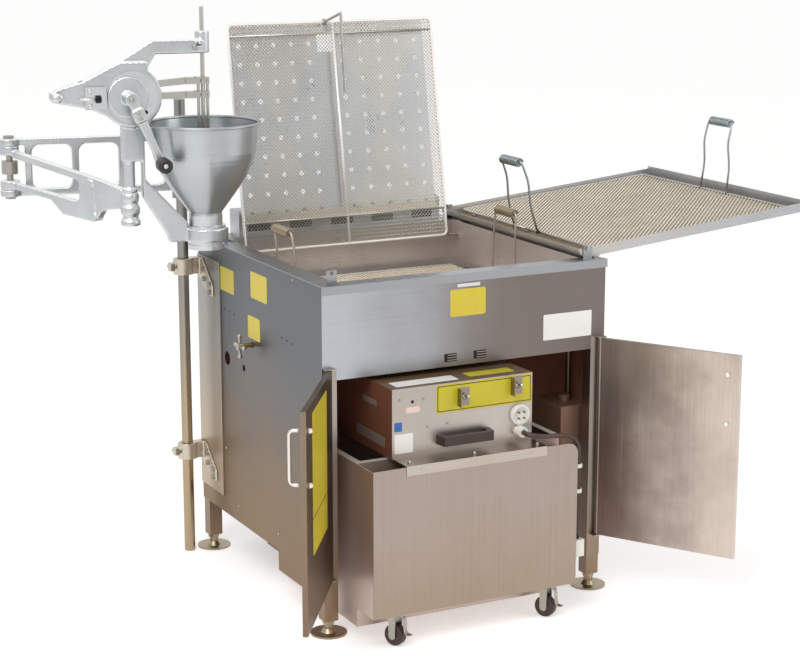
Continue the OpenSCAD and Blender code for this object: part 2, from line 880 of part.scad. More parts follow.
module support_pole() color(steel) in_frame() translate([pole_x, pole_y, 0]) difference() {
  union() {
    cylinder(r = pole_r, h = pole_h);
    translate([0, 0, link_z - fit - collar_h]) cylinder(r = collar_r, h = collar_h);
  }
  translate([0, 0, -over]) cylinder(r = pole_r - pole_wall, h = pole_h - pole_wall);
}

// Doors: drawn closed along +X from the pin, with the outer face toward -Y

module door_solid() {
  difference() {
    union() {
      translate([0, 0, door_low]) cylinder(r = door_r, h = door_top - door_low);
      translate([0, -door_r, door_low]) cube([door_w, door_t - door_liner, door_top - door_low]);
    }
    translate([door_r + door_skin, door_skin - door_r, door_low + door_skin])
      cube([door_w - door_r - 2 * door_skin, door_t, door_top - door_low - 2 * door_skin]);
    translate([0, 0, door_low - over]) cylinder(r = pin_r + fit, h = pin_len + pin_room);
    translate([0, 0, door_top + over - pin_len - pin_room]) cylinder(r = pin_r + fit, h = pin_len + pin_room);
  }
  translate([door_r + door_skin / 2, door_r - door_liner, door_low])
    cube([door_w - door_r - door_skin / 2, door_liner, door_top - door_low]);
}

module door_pull() {
  x = door_w - pull_in;
  y = -door_r - pull_out;
  wire([[x, -door_r, pull_low], [x, y, pull_low], [x, y, pull_low + pull_len],
        [x, -door_r, pull_low + pull_len]], pull_r);
  for (z = [pull_low, pull_low + pull_len]) translate([x, door_r, z]) {
    along_y(pull_nut_r, pull_nut_h);
    translate([0, pull_nut_h, 0]) intersection() {
      sphere(pull_nut_r - over);
      translate([-pull_nut_r, 0, -pull_nut_r]) cube(2 * pull_nut_r);
    }
  }
}

module at_left_door() in_frame() translate([hinge_in, -hinge_out, 0]) rotate([0, 0, -left_open]) children();
module at_right_door() in_frame() translate([cab_w - hinge_in, -hinge_out, 0])
  rotate([0, 0, right_open]) mirror([1, 0, 0]) children();

module left_door() color(warm_steel) at_left_door() door_solid();
module left_door_handle() color(steel) at_left_door() door_pull();
module right_door() color(warm_steel) at_right_door() door_solid();
module right_door_handle() color(steel) at_right_door() door_pull();

// A flat net of rods and bars in X and Y, from the origin

module net(w, d, cols, rows) linear_extrude(net_t, center = true) difference() {
  square([w, d]);
  for (i = [0 : cols - 1], j = [0 : rows - 1])
    translate([net_bar / 2 + i * w / cols, net_bar / 2 + j * d / rows])
      square([w / cols - net_bar, d / rows - net_bar]);
}

module rod_frame(w, d) {
  for (y = [0, d]) translate([0, y, 0]) along_x(rod_r, w);
  for (x = [0, w]) translate([x, 0, 0]) along_y(rod_r, d);
  for (x = [0, w], y = [0, d]) translate([x, y, 0]) sphere(rod_r * bend_swell_share);
}

// A lifting bail on an end rod: its eyes, kinked legs and top bar, leaning toward +X

module bail(lean) {
  legs = concat([[0, 0]], scaled(bail_shares, lean, bail_h), [[lean, bail_h]]);
  ys = [for (p = legs) bail_foot + (bail_top - bail_foot) * p.y / bail_h];
  difference() {
    union() {
      wire(concat([for (i = [0 : len(legs) - 1]) [legs[i].x, -ys[i], legs[i].y]],
                  [for (i = [len(legs) - 1 : -1 : 0]) [legs[i].x, ys[i], legs[i].y]]), bail_r);
      for (y = [-bail_foot, bail_foot]) translate([0, y - bail_eye_w / 2, 0]) along_y(bail_eye_r, bail_eye_w);
    }
    for (y = [-bail_foot, bail_foot]) translate([0, y - bail_eye_w, 0]) along_y(rod_r + snug, 2 * bail_eye_w);
  }
}

module eye_rooms(x, mid) for (y = [-bail_foot, bail_foot])
  translate([x, mid + y - bail_eye_w / 2 - fit, 0]) along_y(bail_eye_r + fit, bail_eye_w + 2 * fit);

// A net in its rod frame, with room for the eyes of two bails on the end rods

module screen(w, d, mid) {
  difference() {
    net(w, d, net_cols, net_rows);
    for (x = [0, w]) eye_rooms(x, mid);
  }
  rod_frame(w, d);
}

// A coil grip along Y, hanging on a bail's top bar at the origin

coil_drop = coil_r - coil_wire / 2 - bail_r - fit;
function coil_at(t) = [coil_r * cos(t), coil_pitch * t / 360 - coil_pitch * coil_turns / 2, coil_r * sin(t)];
function coil_way(t) = unit([-coil_r * sin(t), coil_pitch * 180 / PI / 360, coil_r * cos(t)]);
function coil_ring(c, t) = let (out = [cos(t), 0, sin(t)], side = cross(coil_way(t), out))
  [for (j = [0 : coil_sides - 1]) c + coil_wire / 2 *
    (out * cos(360 * j / coil_sides) + side * sin(360 * j / coil_sides))];
coil_end = 360 * coil_turns;
coil_ts = [for (i = [0 : coil_turns * coil_rings]) 360 * i / coil_rings];
coil_skin = concat([coil_ring(coil_at(0) - coil_wire * coil_way(0), 0)],
                   [for (t = coil_ts) coil_ring(coil_at(t), t)],
                   [coil_ring(coil_at(coil_end) + coil_wire * coil_way(coil_end), coil_end)]);
coil_gap = min([for (i = [0 : len(coil_skin) - 1 - coil_rings / 2],
                     k = [i + coil_rings / 2 : min(i + 2 * coil_rings, len(coil_skin) - 1)])
                 for (p = coil_skin[i], q = coil_skin[k]) norm(p - q)]);
echo(coil_least_gap = coil_gap);

module coil_grip() translate([0, 0, -coil_drop]) skin(coil_skin);

// Submerger: drawn flat on its own upright plane, from the pivot rod

sub_x0 = kettle_x0 + sub_left;
sub_x1 = kettle_x1 - sub_right;
sub_w = sub_x1 - sub_x0;
sub_rows = [sub_low, sub_len - sub_high];

module at_sub() in_frame() translate([0, sub_y, sub_z]) rotate([-sub_lean, 0, 0]) children();

module submerger_screen() color(steel) at_sub() translate([sub_x0, 0, 0]) {
  rotate([90, 0, 0]) rod_frame(sub_w, sub_len);
  rotate([90, 0, 0]) net(sub_w, sub_len, sub_net_cols, sub_net_rows);
  for (z = sub_rows) translate([0, 0, z]) along_x(rod_r, sub_w);
  translate([sub_w * sub_rib_share, 0, 0]) cylinder(r = rod_r, h = sub_len);
}

// Pivot pins butted on the frame's lower corners, which hang in the kettle's hooks

sub_corner = rod_r * bend_swell_share + snug;

module submerger_pivots() color(steel) at_sub() {
  translate([kettle_x0 + fit, 0, 0]) along_x(rod_r, sub_left - sub_corner - fit);
  translate([sub_x1 + sub_corner, 0, 0]) along_x(rod_r, sub_right - sub_corner - fit);
}

// A perforated press plate with a folded flange along its top and bottom

module press_plate(x0, x1) {
  z0 = sub_rows[0];
  z1 = sub_rows[1];
  translate([x0, plate_back + plate_thin / 2, 0]) upright(plate_thin) difference() {
    translate([0, z0 + plate_lip]) square([x1 - x0, z1 - z0 - plate_lip + plate_thin / 2]);
    for (i = [0 : plate_cols - 1], j = [0 : plate_rows - 1])
      translate([(x1 - x0) * (i + 1 / 2) / plate_cols, z0 + (z1 - z0) * (j + 1 / 2) / plate_rows])
        circle(plate_hole_r);
  }
  translate([x0, rod_r, z1 - plate_thin / 2]) cube([x1 - x0, plate_back - rod_r, plate_thin]);
  press_lip(x0, x1);
}

module press_lip(x0, x1) translate([x0, 0, sub_rows[0]]) rotate([90, 0, 90]) linear_extrude(x1 - x0)
  polygon([[rod_r, -plate_thin / 2], [plate_back, plate_lip - over], [plate_back, plate_lip + over],
           [plate_back + plate_thin, plate_lip + over], [plate_back + plate_thin, plate_lip - over],
           [rod_r + plate_thin, -plate_thin / 2]]);

module submerger_plates() color(steel) at_sub() {
  gap0 = sub_x0 + plate_left_shares[1] * sub_w - over;
  gap1 = sub_x0 + plate_right_shares[0] * sub_w + over;
  for (s = [plate_left_shares, plate_right_shares]) press_plate(sub_x0 + s[0] * sub_w, sub_x0 + s[1] * sub_w);
  press_lip(gap0, gap1);
  translate([gap0, plate_back, sub_rows[0] + plate_lip])
    cube([gap1 - gap0, plate_thin, (sub_rows[1] - sub_rows[0]) * plate_bridge_share]);
}

sub_top = [sub_x0 + handle_share * sub_w, sub_y + sub_len * sin(sub_lean), sub_z + sub_len * cos(sub_lean)];

module submerger_handle() color(steel) in_frame() translate(sub_top) difference() {
  union() {
    translate([-handle_eye_w / 2, 0, 0]) along_x(handle_eye_r, handle_eye_w);
    wire([[0, 0, 0], [0, -handle_ahead, handle_up],
          [0, -handle_ahead - handle_lead, handle_up - handle_drop]], rod_r);
    translate([0, -handle_ahead - handle_lead, handle_up - handle_drop]) sphere(rod_r);
  }
  translate([-handle_eye_w, 0, 0]) along_x(rod_r + fit, 2 * handle_eye_w);
}

// Drain tray: drawn level from its pivot, then sloped

module at_tray() in_frame() translate([pivot_x, 0, pivot_z]) rotate([0, -tray_tilt, 0]) children();
tray_w = tray_y1 - tray_y0;

module gutter(r, up) intersection() {
  circle(r);
  translate([-r, -r]) square([2 * r, r + up]);
}

module drain_tray() color(steel) at_tray() difference() {
  union() {
    translate([0, (tray_y0 + tray_y1) / 2, 0]) upright(tray_w) {
      gutter(gutter_r, tray_side_up);
      translate([0, -gutter_r]) square([tray_reach, gutter_r + tray_side_up]);
      translate([tray_reach - tray_t, 0]) square([tray_t, tray_end_up]);
    }
    for (y = [tray_y0, tray_y1 - stop_w]) translate([stop_s, y, -stop_depth])
      cube([stop_len, stop_w, stop_depth - gutter_r + tray_t]);
  }
  translate([0, (tray_y0 + tray_y1) / 2, 0]) upright(tray_w - 2 * tray_t) {
    gutter(gutter_r - tray_t, tray_side_up + over);
    translate([0, tray_t - gutter_r]) square([tray_reach - tray_t, gutter_r + tray_end_up]);
  }
  translate([0, tray_y0 - over, 0]) along_y(pivot_r + fit, tray_w + 2 * over);
}

runner_z = tray_t - gutter_r + fit + rod_r;
drain_z = runner_z + 2 * rod_r - over;
drain_w = tray_reach - drain_end - drain_s0;
drain_d = tray_w - 2 * drain_side;
drain_y0 = tray_y0 + drain_side;

module at_drain() at_tray() translate([drain_s0, drain_y0, drain_z]) children();

module drain_screen() color(steel) at_drain() {
  screen(drain_w, drain_d, drain_d / 2);
  for (y = [runner_in, drain_d / 2, drain_d - runner_in])
    translate([-rod_r / 2, y, runner_z - drain_z]) along_x(rod_r, drain_w + rod_r);
}

module drain_screen_bails() color(steel) at_drain() {
  translate([0, drain_d / 2, 0]) mirror([1, 0, 0]) bail(bail_lean_near);
  translate([drain_w, drain_d / 2, 0]) bail(bail_lean);
}

module drain_screen_grips() color(zinc) at_drain() {
  translate([-bail_lean_near, drain_d / 2, bail_h]) coil_grip();
  translate([drain_w + bail_lean, drain_d / 2, bail_h]) coil_grip();
}

// Frying screen: it lies on the heat tubes

fry_w = kettle_w - 2 * fry_side;
fry_d = kettle_d - fry_front - fry_back;
fry_mid = kettle_d / 2 - fry_front;

module at_fry() in_frame() translate([kettle_x0 + fry_side, kettle_y0 + fry_front, screen_z]) children();

module frying_screen() color(dull_steel) at_fry() screen(fry_w, fry_d, fry_mid);

module frying_screen_bails() color(steel) at_fry() {
  translate([0, fry_mid, 0]) mirror([1, 0, 0]) bail(fry_lean);
  translate([fry_w, fry_mid, 0]) bail(fry_lean_near);
}

module frying_screen_grips() color(zinc) at_fry() {
  translate([-fry_lean, fry_mid, bail_h]) coil_grip();
  translate([fry_w + fry_lean_near, fry_mid, bail_h]) coil_grip();
}

// Filter cart

cart_x1 = cart_x + cart_w;
caster_xs = [cart_x + caster_in, cart_x1 - caster_in];
caster_y = tank_y - caster_ahead;

module rear_bracket(x) for (s = [-1, 1])
  translate([x + s * (wheel_t / 2 + rear_plate_t), rear_axle_y, 0]) difference() {
    union() {
      translate([-rear_plate_t / 2, 0, wheel_r]) along_x(rear_plate_half, rear_plate_t);
      translate([-rear_plate_t / 2, -rear_plate_half, wheel_r])
        cube([rear_plate_t, 2 * rear_plate_half, shelf_z - wheel_r]);
    }
    translate([-rear_plate_t, 0, wheel_r]) along_x(rear_axle_r + fit, 2 * rear_plate_t);
  }

module cart_tank() color(dull_steel) in_frame() {
  difference() {
    union() {
      translate([cart_x, tank_y, tank_low]) cube([cart_w, tank_d, tank_top - tank_low]);
      translate([cart_x, front_y + cart_front_t, shelf_z]) cube([cart_w, nose, tank_top - shelf_z]);
      translate([cart_x, tank_y1, shelf_z]) cube([cart_w, tail, tank_t]);
    }
    translate([cart_x + tank_t, tank_y + tank_t, tank_low + tank_t])
      cube([cart_w - 2 * tank_t, tank_d - 2 * tank_t, tank_top - tank_low - 2 * tank_t]);
    translate([cart_x + tank_flange, tank_y + tank_flange, tank_low + tank_t])
      cube([cart_w - 2 * tank_flange, tank_d - 2 * tank_flange, tank_top]);
    translate([cart_x + tank_t, front_y, cart_low]) cube([cart_w - 2 * tank_t, cart_front_t + nose, tank_top]);
    translate([cart_x + tank_t, front_y, cheek_top_right]) cube([cart_w, cart_front_t + nose, tank_top]);
    for (x = caster_xs) translate([x, caster_y, shelf_z - over]) cylinder(r = king_r + fit, h = tank_t + 2 * over);
  }
  for (x = caster_xs) rear_bracket(x);
}

module cart_front_panel() color(warm_steel) in_frame()
  translate([cart_x, front_y + cart_front_t / 2, cart_low - tank_t]) upright(cart_front_t) {
    h = cart_top - cart_low + tank_t;
    square([cart_w, h - cart_corner_r]);
    square([cart_w - cart_corner_r, h]);
    translate([cart_w - cart_corner_r, h - cart_corner_r]) circle(cart_corner_r);
  }

module box_base_plate() color(steel) in_frame() {
  y0 = front_y - base_lip_t;
  translate([base_x, y0, cart_top]) cube([box_w, box_y + box_d + base_lip_t + base_over, base_t]);
  translate([base_x, y0, cart_top - base_lip_h]) cube([box_w, base_lip_t, base_lip_h]);
  for (x = [base_x + stud_in, base_x + box_w / 2, base_x + box_w - stud_in])
    translate([x, front_y + stud_in, box_z]) {
      cylinder(r = stud_r, h = stud_h - stud_r);
      translate([0, 0, stud_h - stud_r]) sphere(stud_r);
    }
  translate([base_x, tank_y, tank_top]) cube([box_w, tank_flange, cart_top - tank_top]);
}

module control_box() color(warm_steel) in_frame() translate([box_x, box_front, box_z]) difference() {
  cube([box_w, box_d, box_h]);
  translate([box_t, box_t, -over]) cube([box_w - 2 * box_t, box_d - 2 * box_t, box_h - box_t + over]);
  for (p = guard_places) translate([p.x - box_x, -over, p.y]) along_y(ball_r + fit, box_t + 2 * over);
}

// A moulded bridge: two feet and a bar, its outline clipped flat where it sits on the box

module grip_outline(inset, out, slant) polygon(filleted([
  [inset, 2 * box_grip_round], [inset + slant, -out],
  [box_grip_len - inset - slant, -out], [box_grip_len - inset, 2 * box_grip_round]], box_grip_round));

module box_handle() color(dark) in_frame()
  translate([box_grip_x, box_front, box_z + box_grip_z - box_grip_h / 2]) linear_extrude(box_grip_h) difference() {
    grip_outline(0, box_grip_out, box_grip_slant);
    grip_outline(box_grip_foot, box_grip_out - box_grip_bar, 0);
    translate([-over, 0]) square([box_grip_len + 2 * over, box_grip_out]);
  }

module cable_fittings() color(white) in_frame() {
  translate([recept_x, box_front - recept_t, box_z + recept_up]) along_y(recept_r, recept_t);
  translate([gland_x, box_front - gland_len, box_z + gland_up]) along_y(gland_r, gland_len);
  for (z = clip_zs) translate([cart_x1, lead_y, z - clip_h / 2]) difference() {
    union() {
      translate([0, -clip_r, 0]) cube([lead_x - cart_x1, 2 * clip_r, clip_h]);
      translate([lead_x - cart_x1, 0, 0]) cylinder(r = clip_r, h = clip_h);
    }
    translate([lead_x - cart_x1, 0, -over]) cylinder(r = lead_r + fit, h = clip_h + 2 * over);
  }
  translate([cart_x1, lead_y - lead_box_d / 2, lead_low - lead_box_h])
    cube([lead_x - cart_x1 + lead_box_out, lead_box_d, lead_box_h]);
}

// The lead runs from its gland over the panel's round corner and down the cart's side

lead_ref = [1, 1, 0.6];
function lead_way(i) = unit(lead_points[min(i + 1, len(lead_points) - 1)] - lead_points[max(i - 1, 0)]);
function lead_ring(i) = let (w = i == 0 ? [0, -1, 0] : lead_way(i), u = unit(cross(w, lead_ref)), v = cross(w, u))
  [for (j = [0 : lead_sides - 1])
    lead_points[i] + lead_r * (u * cos(360 * j / lead_sides) + v * sin(360 * j / lead_sides))];

module heater_lead() color(brown) in_frame() skin([for (i = [0 : len(lead_points) - 1]) lead_ring(i)]);

module filter_unit() color(steel) in_frame() {
  w = cart_w - 2 * (tank_t + filter_edge);
  d = tank_d - 2 * (tank_t + filter_edge);
  z = tank_low + tank_t;
  translate([cart_x + tank_t + filter_edge, tank_y + tank_t + filter_edge, 0]) {
    translate([0, 0, filter_z]) linear_extrude(filter_t) difference() {
      square([w, d]);
      for (i = [0 : filter_cols - 1], j = [0 : filter_rows - 1])
        translate([w * (i + 1 / 2) / filter_cols, d * (j + 1 / 2) / filter_rows]) circle(filter_hole_r);
    }
    for (x = [filter_edge, w - filter_edge], y = [filter_edge, d - filter_edge])
      translate([x, y, z]) cylinder(r = filter_leg_r, h = filter_z - z);
  }
  translate([suction_x, front_y + suction_y, filter_z]) difference() {
    cylinder(r = suction_r, h = cart_top - filter_z);
    translate([0, 0, filter_t]) cylinder(r = suction_r - suction_wall, h = cart_top);
  }
}

// Switch guards with their bushes, and the two toggles

module at_switch(i) in_frame() translate([guard_places[i].x, box_front, box_z + guard_places[i].y]) children();

module switch_guards() color(zinc) for (i = [0, 1]) at_switch(i) difference() {
  union() {
    translate([-guard_plate_w / 2, -guard_t, -guard_plate_h / 2]) cube([guard_plate_w, guard_t, guard_plate_h]);
    translate([-guard_plate_w / 2, -guard_wing, -guard_plate_h / 2]) cube([guard_t, guard_wing, guard_plate_h]);
    translate([0, -bush_len, 0]) along_y(bush_r, bush_len);
  }
  translate([0, -bush_len - over, 0]) along_y(ball_r + fit, bush_len + 2 * over);
}

module toggle() translate([0, -ball_out, 0]) {
  sphere(ball_r);
  rotate([90 - bat_lift, 0, 0]) cylinder(r1 = bat_r, r2 = bat_tip_r, h = bat_len);
  rotate([90 - bat_lift, 0, 0]) translate([0, 0, bat_len]) sphere(bat_tip_r);
}

module switch_left() color(spun) at_switch(0) toggle();
module switch_right() color(spun) at_switch(1) toggle();

// Casters: drawn about the kingpin, trailing toward +X, then turned

module at_caster(x, turn) in_frame() translate([x, caster_y, 0]) rotate([0, 0, turn]) children();

module caster_fork() {
  translate([0, 0, shelf_z - fit - fork_top_t]) cylinder(r = fork_top_r, h = fork_top_t);
  translate([0, 0, shelf_z - fork_top_t]) cylinder(r = king_r, h = fork_top_t + tank_t + fit + king_nut_h);
  translate([0, 0, shelf_z + tank_t + fit]) cylinder(r = king_nut_r, h = king_nut_h, $fn = 6);
  for (s = [-1, 1]) translate([0, s * (fork_side + fork_cheek_t / 2), 0]) upright(fork_cheek_t) {
    translate([trail, wheel_r]) circle(fork_cheek_w / 2);
    translate([trail - fork_cheek_w / 2, wheel_r]) square([fork_cheek_w, shelf_z - fit - fork_top_t - wheel_r + over]);
  }
  translate([trail, -fork_side - fork_cheek_t, wheel_r]) along_y(axle_r, 2 * (fork_side + fork_cheek_t));
  translate([trail, -brake_w / 2, shelf_z - fit - fork_top_t - brake_t])
    cube([brake_len, brake_w, brake_t + over]);
}

module tyre(r, bore) difference() {
  union() {
    translate([0, -wheel_t / 2, 0]) along_y(r - wheel_round, wheel_t);
    translate([0, wheel_round - wheel_t / 2, 0]) along_y(r, wheel_t - 2 * wheel_round);
    for (s = [-1, 1]) rotate([90, 0, 0]) translate([0, 0, s * (wheel_t / 2 - wheel_round)])
      rotate_extrude() translate([r - wheel_round, 0]) circle(wheel_round);
  }
  translate([0, -wheel_t, 0]) along_y(bore, 2 * wheel_t);
}

module caster_fork_left() color(zinc) at_caster(caster_xs[0], left_turn) caster_fork();
module caster_fork_right() color(zinc) at_caster(caster_xs[1], right_turn) caster_fork();
module wheel_front_left() color(brown) at_caster(caster_xs[0], left_turn)
  translate([trail, 0, wheel_r]) tyre(wheel_r, axle_r + fit);
module wheel_front_right() color(brown) at_caster(caster_xs[1], right_turn)
  translate([trail, 0, wheel_r]) tyre(wheel_r, axle_r + fit);

module rear_wheels() color(brown) in_frame() translate([0, rear_axle_y, wheel_r]) {
  for (x = caster_xs) translate([x, 0, 0]) rotate([0, 0, 90]) tyre(wheel_r, rear_axle_r - over);
  translate([caster_xs[0] - wheel_t, 0, 0])
    along_x(rear_axle_r, caster_xs[1] - caster_xs[0] + 2 * wheel_t);
}

// Swing arm

module at_pole() in_frame() translate([pole_x, pole_y, 0]) rotate([0, 0, inner_angle]) children();
module at_elbow() in_frame() translate([elbow_x, elbow_y, 0]) rotate([0, 0, outer_angle]) children();

module inner_swing_link() color(cast) at_pole() difference() {
  union() {
    translate([0, 0, link_z]) cylinder(r = boss_r, h = link_h);
    difference() {
      upright(link_t) difference() {
        translate([0, link_z]) square([arm_len, link_h]);
        for (i = [0 : window_count - 1]) translate([window_s + i * window_pitch, link_z + chord_h])
          rrect(window_w, link_h - 2 * chord_h, window_r);
      }
      translate([arm_len, 0, link_z + chord_h]) cylinder(r = elbow_clear, h = link_h - 2 * chord_h);
    }
    for (z = [link_z, link_z + link_h - chord_h]) translate([arm_len, 0, z]) cylinder(r = knuckle_r, h = chord_h);
  }
  translate([0, 0, link_z - over]) cylinder(r = pole_r + fit, h = link_h + 2 * over);
  translate([arm_len, 0, link_z - over]) cylinder(r = elbow_r + snug, h = link_h + 2 * over);
}

block_z = link_z + (link_h - block_h) / 2;

module elbow_pin() color(zinc) in_frame() translate([elbow_x, elbow_y, 0]) {
  translate([0, 0, link_z - elbow_head_h]) cylinder(r = elbow_r, h = link_h + 2 * elbow_head_h);
  translate([0, 0, link_z - elbow_head_h]) cylinder(r = elbow_head_r, h = elbow_head_h, $fn = 6);
  translate([0, 0, link_z + link_h]) cylinder(r = elbow_head_r, h = elbow_head_h, $fn = 6);
  translate([0, 0, block_z]) cylinder(r = block_r, h = block_h);
}

function outer_points(shares) = moved(scaled(shares, arm_len, link_h), 0, link_z);

module outer_swing_link() color(cast) at_elbow() difference() {
  union() {
    difference() {
      upright(link_t) difference() {
        polygon(concat(outer_points(outer_top_shares), [[arm_len, shaft_boss_z + shaft_boss_h - shaft_ring_h],
                                                        [arm_len, shaft_boss_z + shaft_ring_h]],
                       outer_points(outer_low_shares)));
        polygon(filleted(outer_points(outer_window_shares), outer_window_r));
      }
      translate([arm_len, 0, shaft_boss_z + shaft_boss_h]) cylinder(r = shaft_collar_r + shaft_room, h = link_h);
      translate([0, 0, link_z + chord_h + fit + knuckle_h])
        cylinder(r = block_r + over, h = link_h - 2 * (chord_h + fit + knuckle_h));
    }
    for (z = [link_z + chord_h + fit, link_z + link_h - chord_h - fit - knuckle_h])
      translate([0, 0, z]) cylinder(r = knuckle_r - over, h = knuckle_h);
    translate([arm_len * lobe_share, 0, link_z + link_h * lobe_z_share])
      rotate([90, 0, 0]) cylinder(r = lobe_r, h = link_t + 2 * lobe_stand, center = true);
    upright(link_t + 2 * rib_stand) polygon(filleted(outer_points(outer_rib_shares), outer_rib_r));
    translate([arm_len, 0, shaft_boss_z]) rotate_extrude() polygon(scaled(shaft_boss_shares, shaft_boss_r, shaft_boss_h));
  }
  translate([0, 0, link_z]) cylinder(r = elbow_r + fit, h = link_h);
  translate([arm_len, 0, shaft_boss_z - over]) cylinder(r = shaft_r + fit, h = shaft_boss_h + 2 * over);
}

// Depositor: drawn along u from its shaft, with v pointing back

module at_head() in_frame() translate([shaft_x, shaft_y, 0]) rotate([0, 0, head_angle]) children();
function head_points(shares) = moved(scaled(shares, head_len, head_rise), crank_u, crank_z);
tip_u = crank_u + tip_share * head_len;

module depositor_frame() color(cast) at_head() difference() {
  union() {
    translate([0, 0, shaft_low]) cylinder(r = shaft_r, h = post_z + over - shaft_low);
    translate([0, 0, shaft_boss_z + shaft_boss_h + fit]) cylinder(r = shaft_collar_r, h = shaft_collar_h);
    upright(post_t) polygon(head_points(post_shares));
    upright(post_t) polygon(head_points(upper_shares));
    difference() {
      upright(head_t) {
        polygon(filleted(head_points(head_shares), outline_r));
        translate([cover_u, crank_z]) circle(head_r);
      }
      upright(slot_t) polygon(head_points(slot_shares));
    }
    translate([tip_u, -head_t / 2 - tip_head_h, tip_z]) along_y(tip_head_r, tip_head_h);
    translate([tip_u, -head_t / 2, tip_z]) along_y(tip_r, head_t);
    translate([axis_u, 0, rod_boss_z]) cylinder(r = rod_boss_r, h = rod_boss_h);
    translate([axis_u - rod_boss_r / 2, -rod_boss_r / 2 - thumb_len, rod_boss_z + rod_boss_h / 2])
      along_y(thumb_r, thumb_len);
    translate([axis_u, 0, clamp_ring_z]) cylinder(r = clamp_ring_r, h = clamp_ring_h);
  }
  translate([axis_u, 0, rod_boss_z - over]) cylinder(r = main_rod_r + fit, h = rod_boss_h + 2 * over);
  translate([axis_u, 0, clamp_ring_z - over]) cylinder(r = cyl_r + snug, h = clamp_ring_h + 2 * over);
  translate([axis_u, 0, clamp_ring_z + clamp_ring_h]) cylinder(r = cyl_flange_r + over, h = cyl_h);
  translate([crank_u, -head_t / 2 - over, crank_z]) along_y(stub_r + fit, head_t / 2);
}

cover_face = -head_t / 2 - cover_t;
cover_block_w = crank_u - disc_r - cover_block_gap - cover_block_u;

module cover_plate() color(spun) at_head() difference() {
  union() {
    translate([cover_u, cover_face, crank_z]) along_y(cover_r, cover_t);
    translate([cover_block_u, -head_t / 2 - cover_block_t, crank_z - cover_block_h / 2])
      cube([cover_block_w, cover_block_t, cover_block_h]);
    translate([cover_u, cover_face - cover_screw_h, crank_z]) for (i = [0 : cover_screws - 1])
      rotate([0, cover_turn + 360 * i / cover_screws, 0]) translate([cover_r - 2 * cover_screw_r, 0, 0])
        along_y(cover_screw_r, cover_screw_h + over);
  }
  translate([crank_u, cover_face - over, crank_z]) along_y(stub_r + fit, cover_t + 2 * over);
}

disc_v = cover_face - cover_screw_h - disc_gap - disc_t;
arm_v = disc_v - hub_len;
crank_reach = norm([knob_u - crank_u, knob_z - crank_z]);
crank_lean = atan2(knob_z - crank_z, knob_u - crank_u);

module crank_handle() color(cast) at_head() translate([crank_u, 0, crank_z]) {
  translate([0, disc_v, 0]) along_y(disc_r, disc_t);
  translate([0, disc_v, 0]) along_y(stub_r, -disc_v - slot_t / 2 - over);
  translate([0, arm_v - arm_t, 0]) along_y(hub_r, hub_len + arm_t);
  translate([0, arm_v - arm_t / 2, 0]) upright(arm_t) rotate(crank_lean) {
    polygon([[0, arm_wide], [crank_reach, arm_thin], [crank_reach, -arm_thin], [0, -arm_wide]]);
    translate([crank_reach, 0]) circle(arm_wide);
  }
  translate([0, arm_v - arm_t / 2, 0]) upright(arm_block_t) rotate(crank_lean)
    translate([crank_reach * arm_block_share - arm_block_len / 2, -arm_block_w / 2])
      rrect(arm_block_len, arm_block_w, arm_thin / 2);
  rotate([0, -crank_lean, 0]) translate([crank_reach, arm_v - arm_t - knob_len - fit - 2 * over, 0])
    along_y(knob_stud_r, knob_len + arm_t);
}

module crank_knob() color(dark) at_head() translate([knob_u, arm_v - arm_t - fit - knob_len, knob_z])
  rotate([-90, 0, 0]) difference() {
    union() {
      translate([0, 0, knob_round]) cylinder(r = knob_r, h = knob_len - knob_round);
      cylinder(r = knob_r - knob_round, h = knob_len);
      translate([0, 0, knob_round]) rotate_extrude() translate([knob_r - knob_round, 0]) circle(knob_round);
    }
    translate([0, 0, -over]) cylinder(r = knob_stud_r + fit, h = knob_len + 2 * over);
  }

// Two lever bars from one boss on the tip pin, forked at the plunger's pins

lever_zs = [crank_z + lever_up, crank_z + lever_zero];

module lever_bar(z) {
  x0 = tip_u + lever_boss_r / 2;
  x1 = axis_u - fork_back;
  upright(lever_t) polygon([[x0, tip_z + (z > tip_z ? 0 : -lever_boss_r)], [x0, tip_z + (z > tip_z ? lever_boss_r : 0)],
                            [x1, z + lever_h / 2], [x1, z - lever_h / 2]]);
  translate([x1 + fork_root / 2, 0, z]) cube([fork_root, 2 * fork_half, lever_h], center = true);
  for (s = [-1, 1]) translate([(x1 + axis_u + fork_ahead) / 2, s * (fork_half - fork_t / 2), z])
    difference() {
      cube([fork_back + fork_ahead, fork_t, lever_h], center = true);
      for (x = [-lever_slot, 0, lever_slot])
        translate([axis_u - (x1 + axis_u + fork_ahead) / 2 + x, -fork_t, 0]) along_y(link_pin_r + lever_play, 2 * fork_t);
    }
}

module rocker_levers() color(spun) at_head() difference() {
  union() {
    for (z = lever_zs) lever_bar(z);
    translate([tip_u, -lever_t / 2, tip_z]) along_y(lever_boss_r, lever_t);
  }
  translate([tip_u, -lever_t, tip_z]) along_y(tip_r + fit, 2 * lever_t);
}

module plunger() color(spun) at_head() translate([axis_u, 0, 0]) {
  translate([0, 0, piston_z]) cylinder(r = cyl_r - cyl_wall - fit, h = piston_t);
  translate([0, 0, piston_z]) cylinder(r = main_rod_r, h = main_rod_top - piston_z);
  translate([0, 0, spider_z]) cylinder(r = spider_r, h = spider_t);
  for (s = [-1, 1]) translate([s * side_rod_out, 0, spider_z])
    cylinder(r = side_rod_r, h = lever_zs[0] + lever_h / 2 - spider_z);
  for (z = lever_zs) translate([0, 0, z]) {
    cube([2 * crosshead_half, crosshead_t, lever_h], center = true);
    translate([0, -fork_half - fit - link_head_h / 2, 0]) along_y(link_pin_r, 2 * (fork_half + fit) + link_head_h);
    for (s = [-1, 1]) translate([0, s * (fork_half + fit + link_head_h / 2) - link_head_h / 2, 0])
      along_y(link_head_r, link_head_h);
  }
}

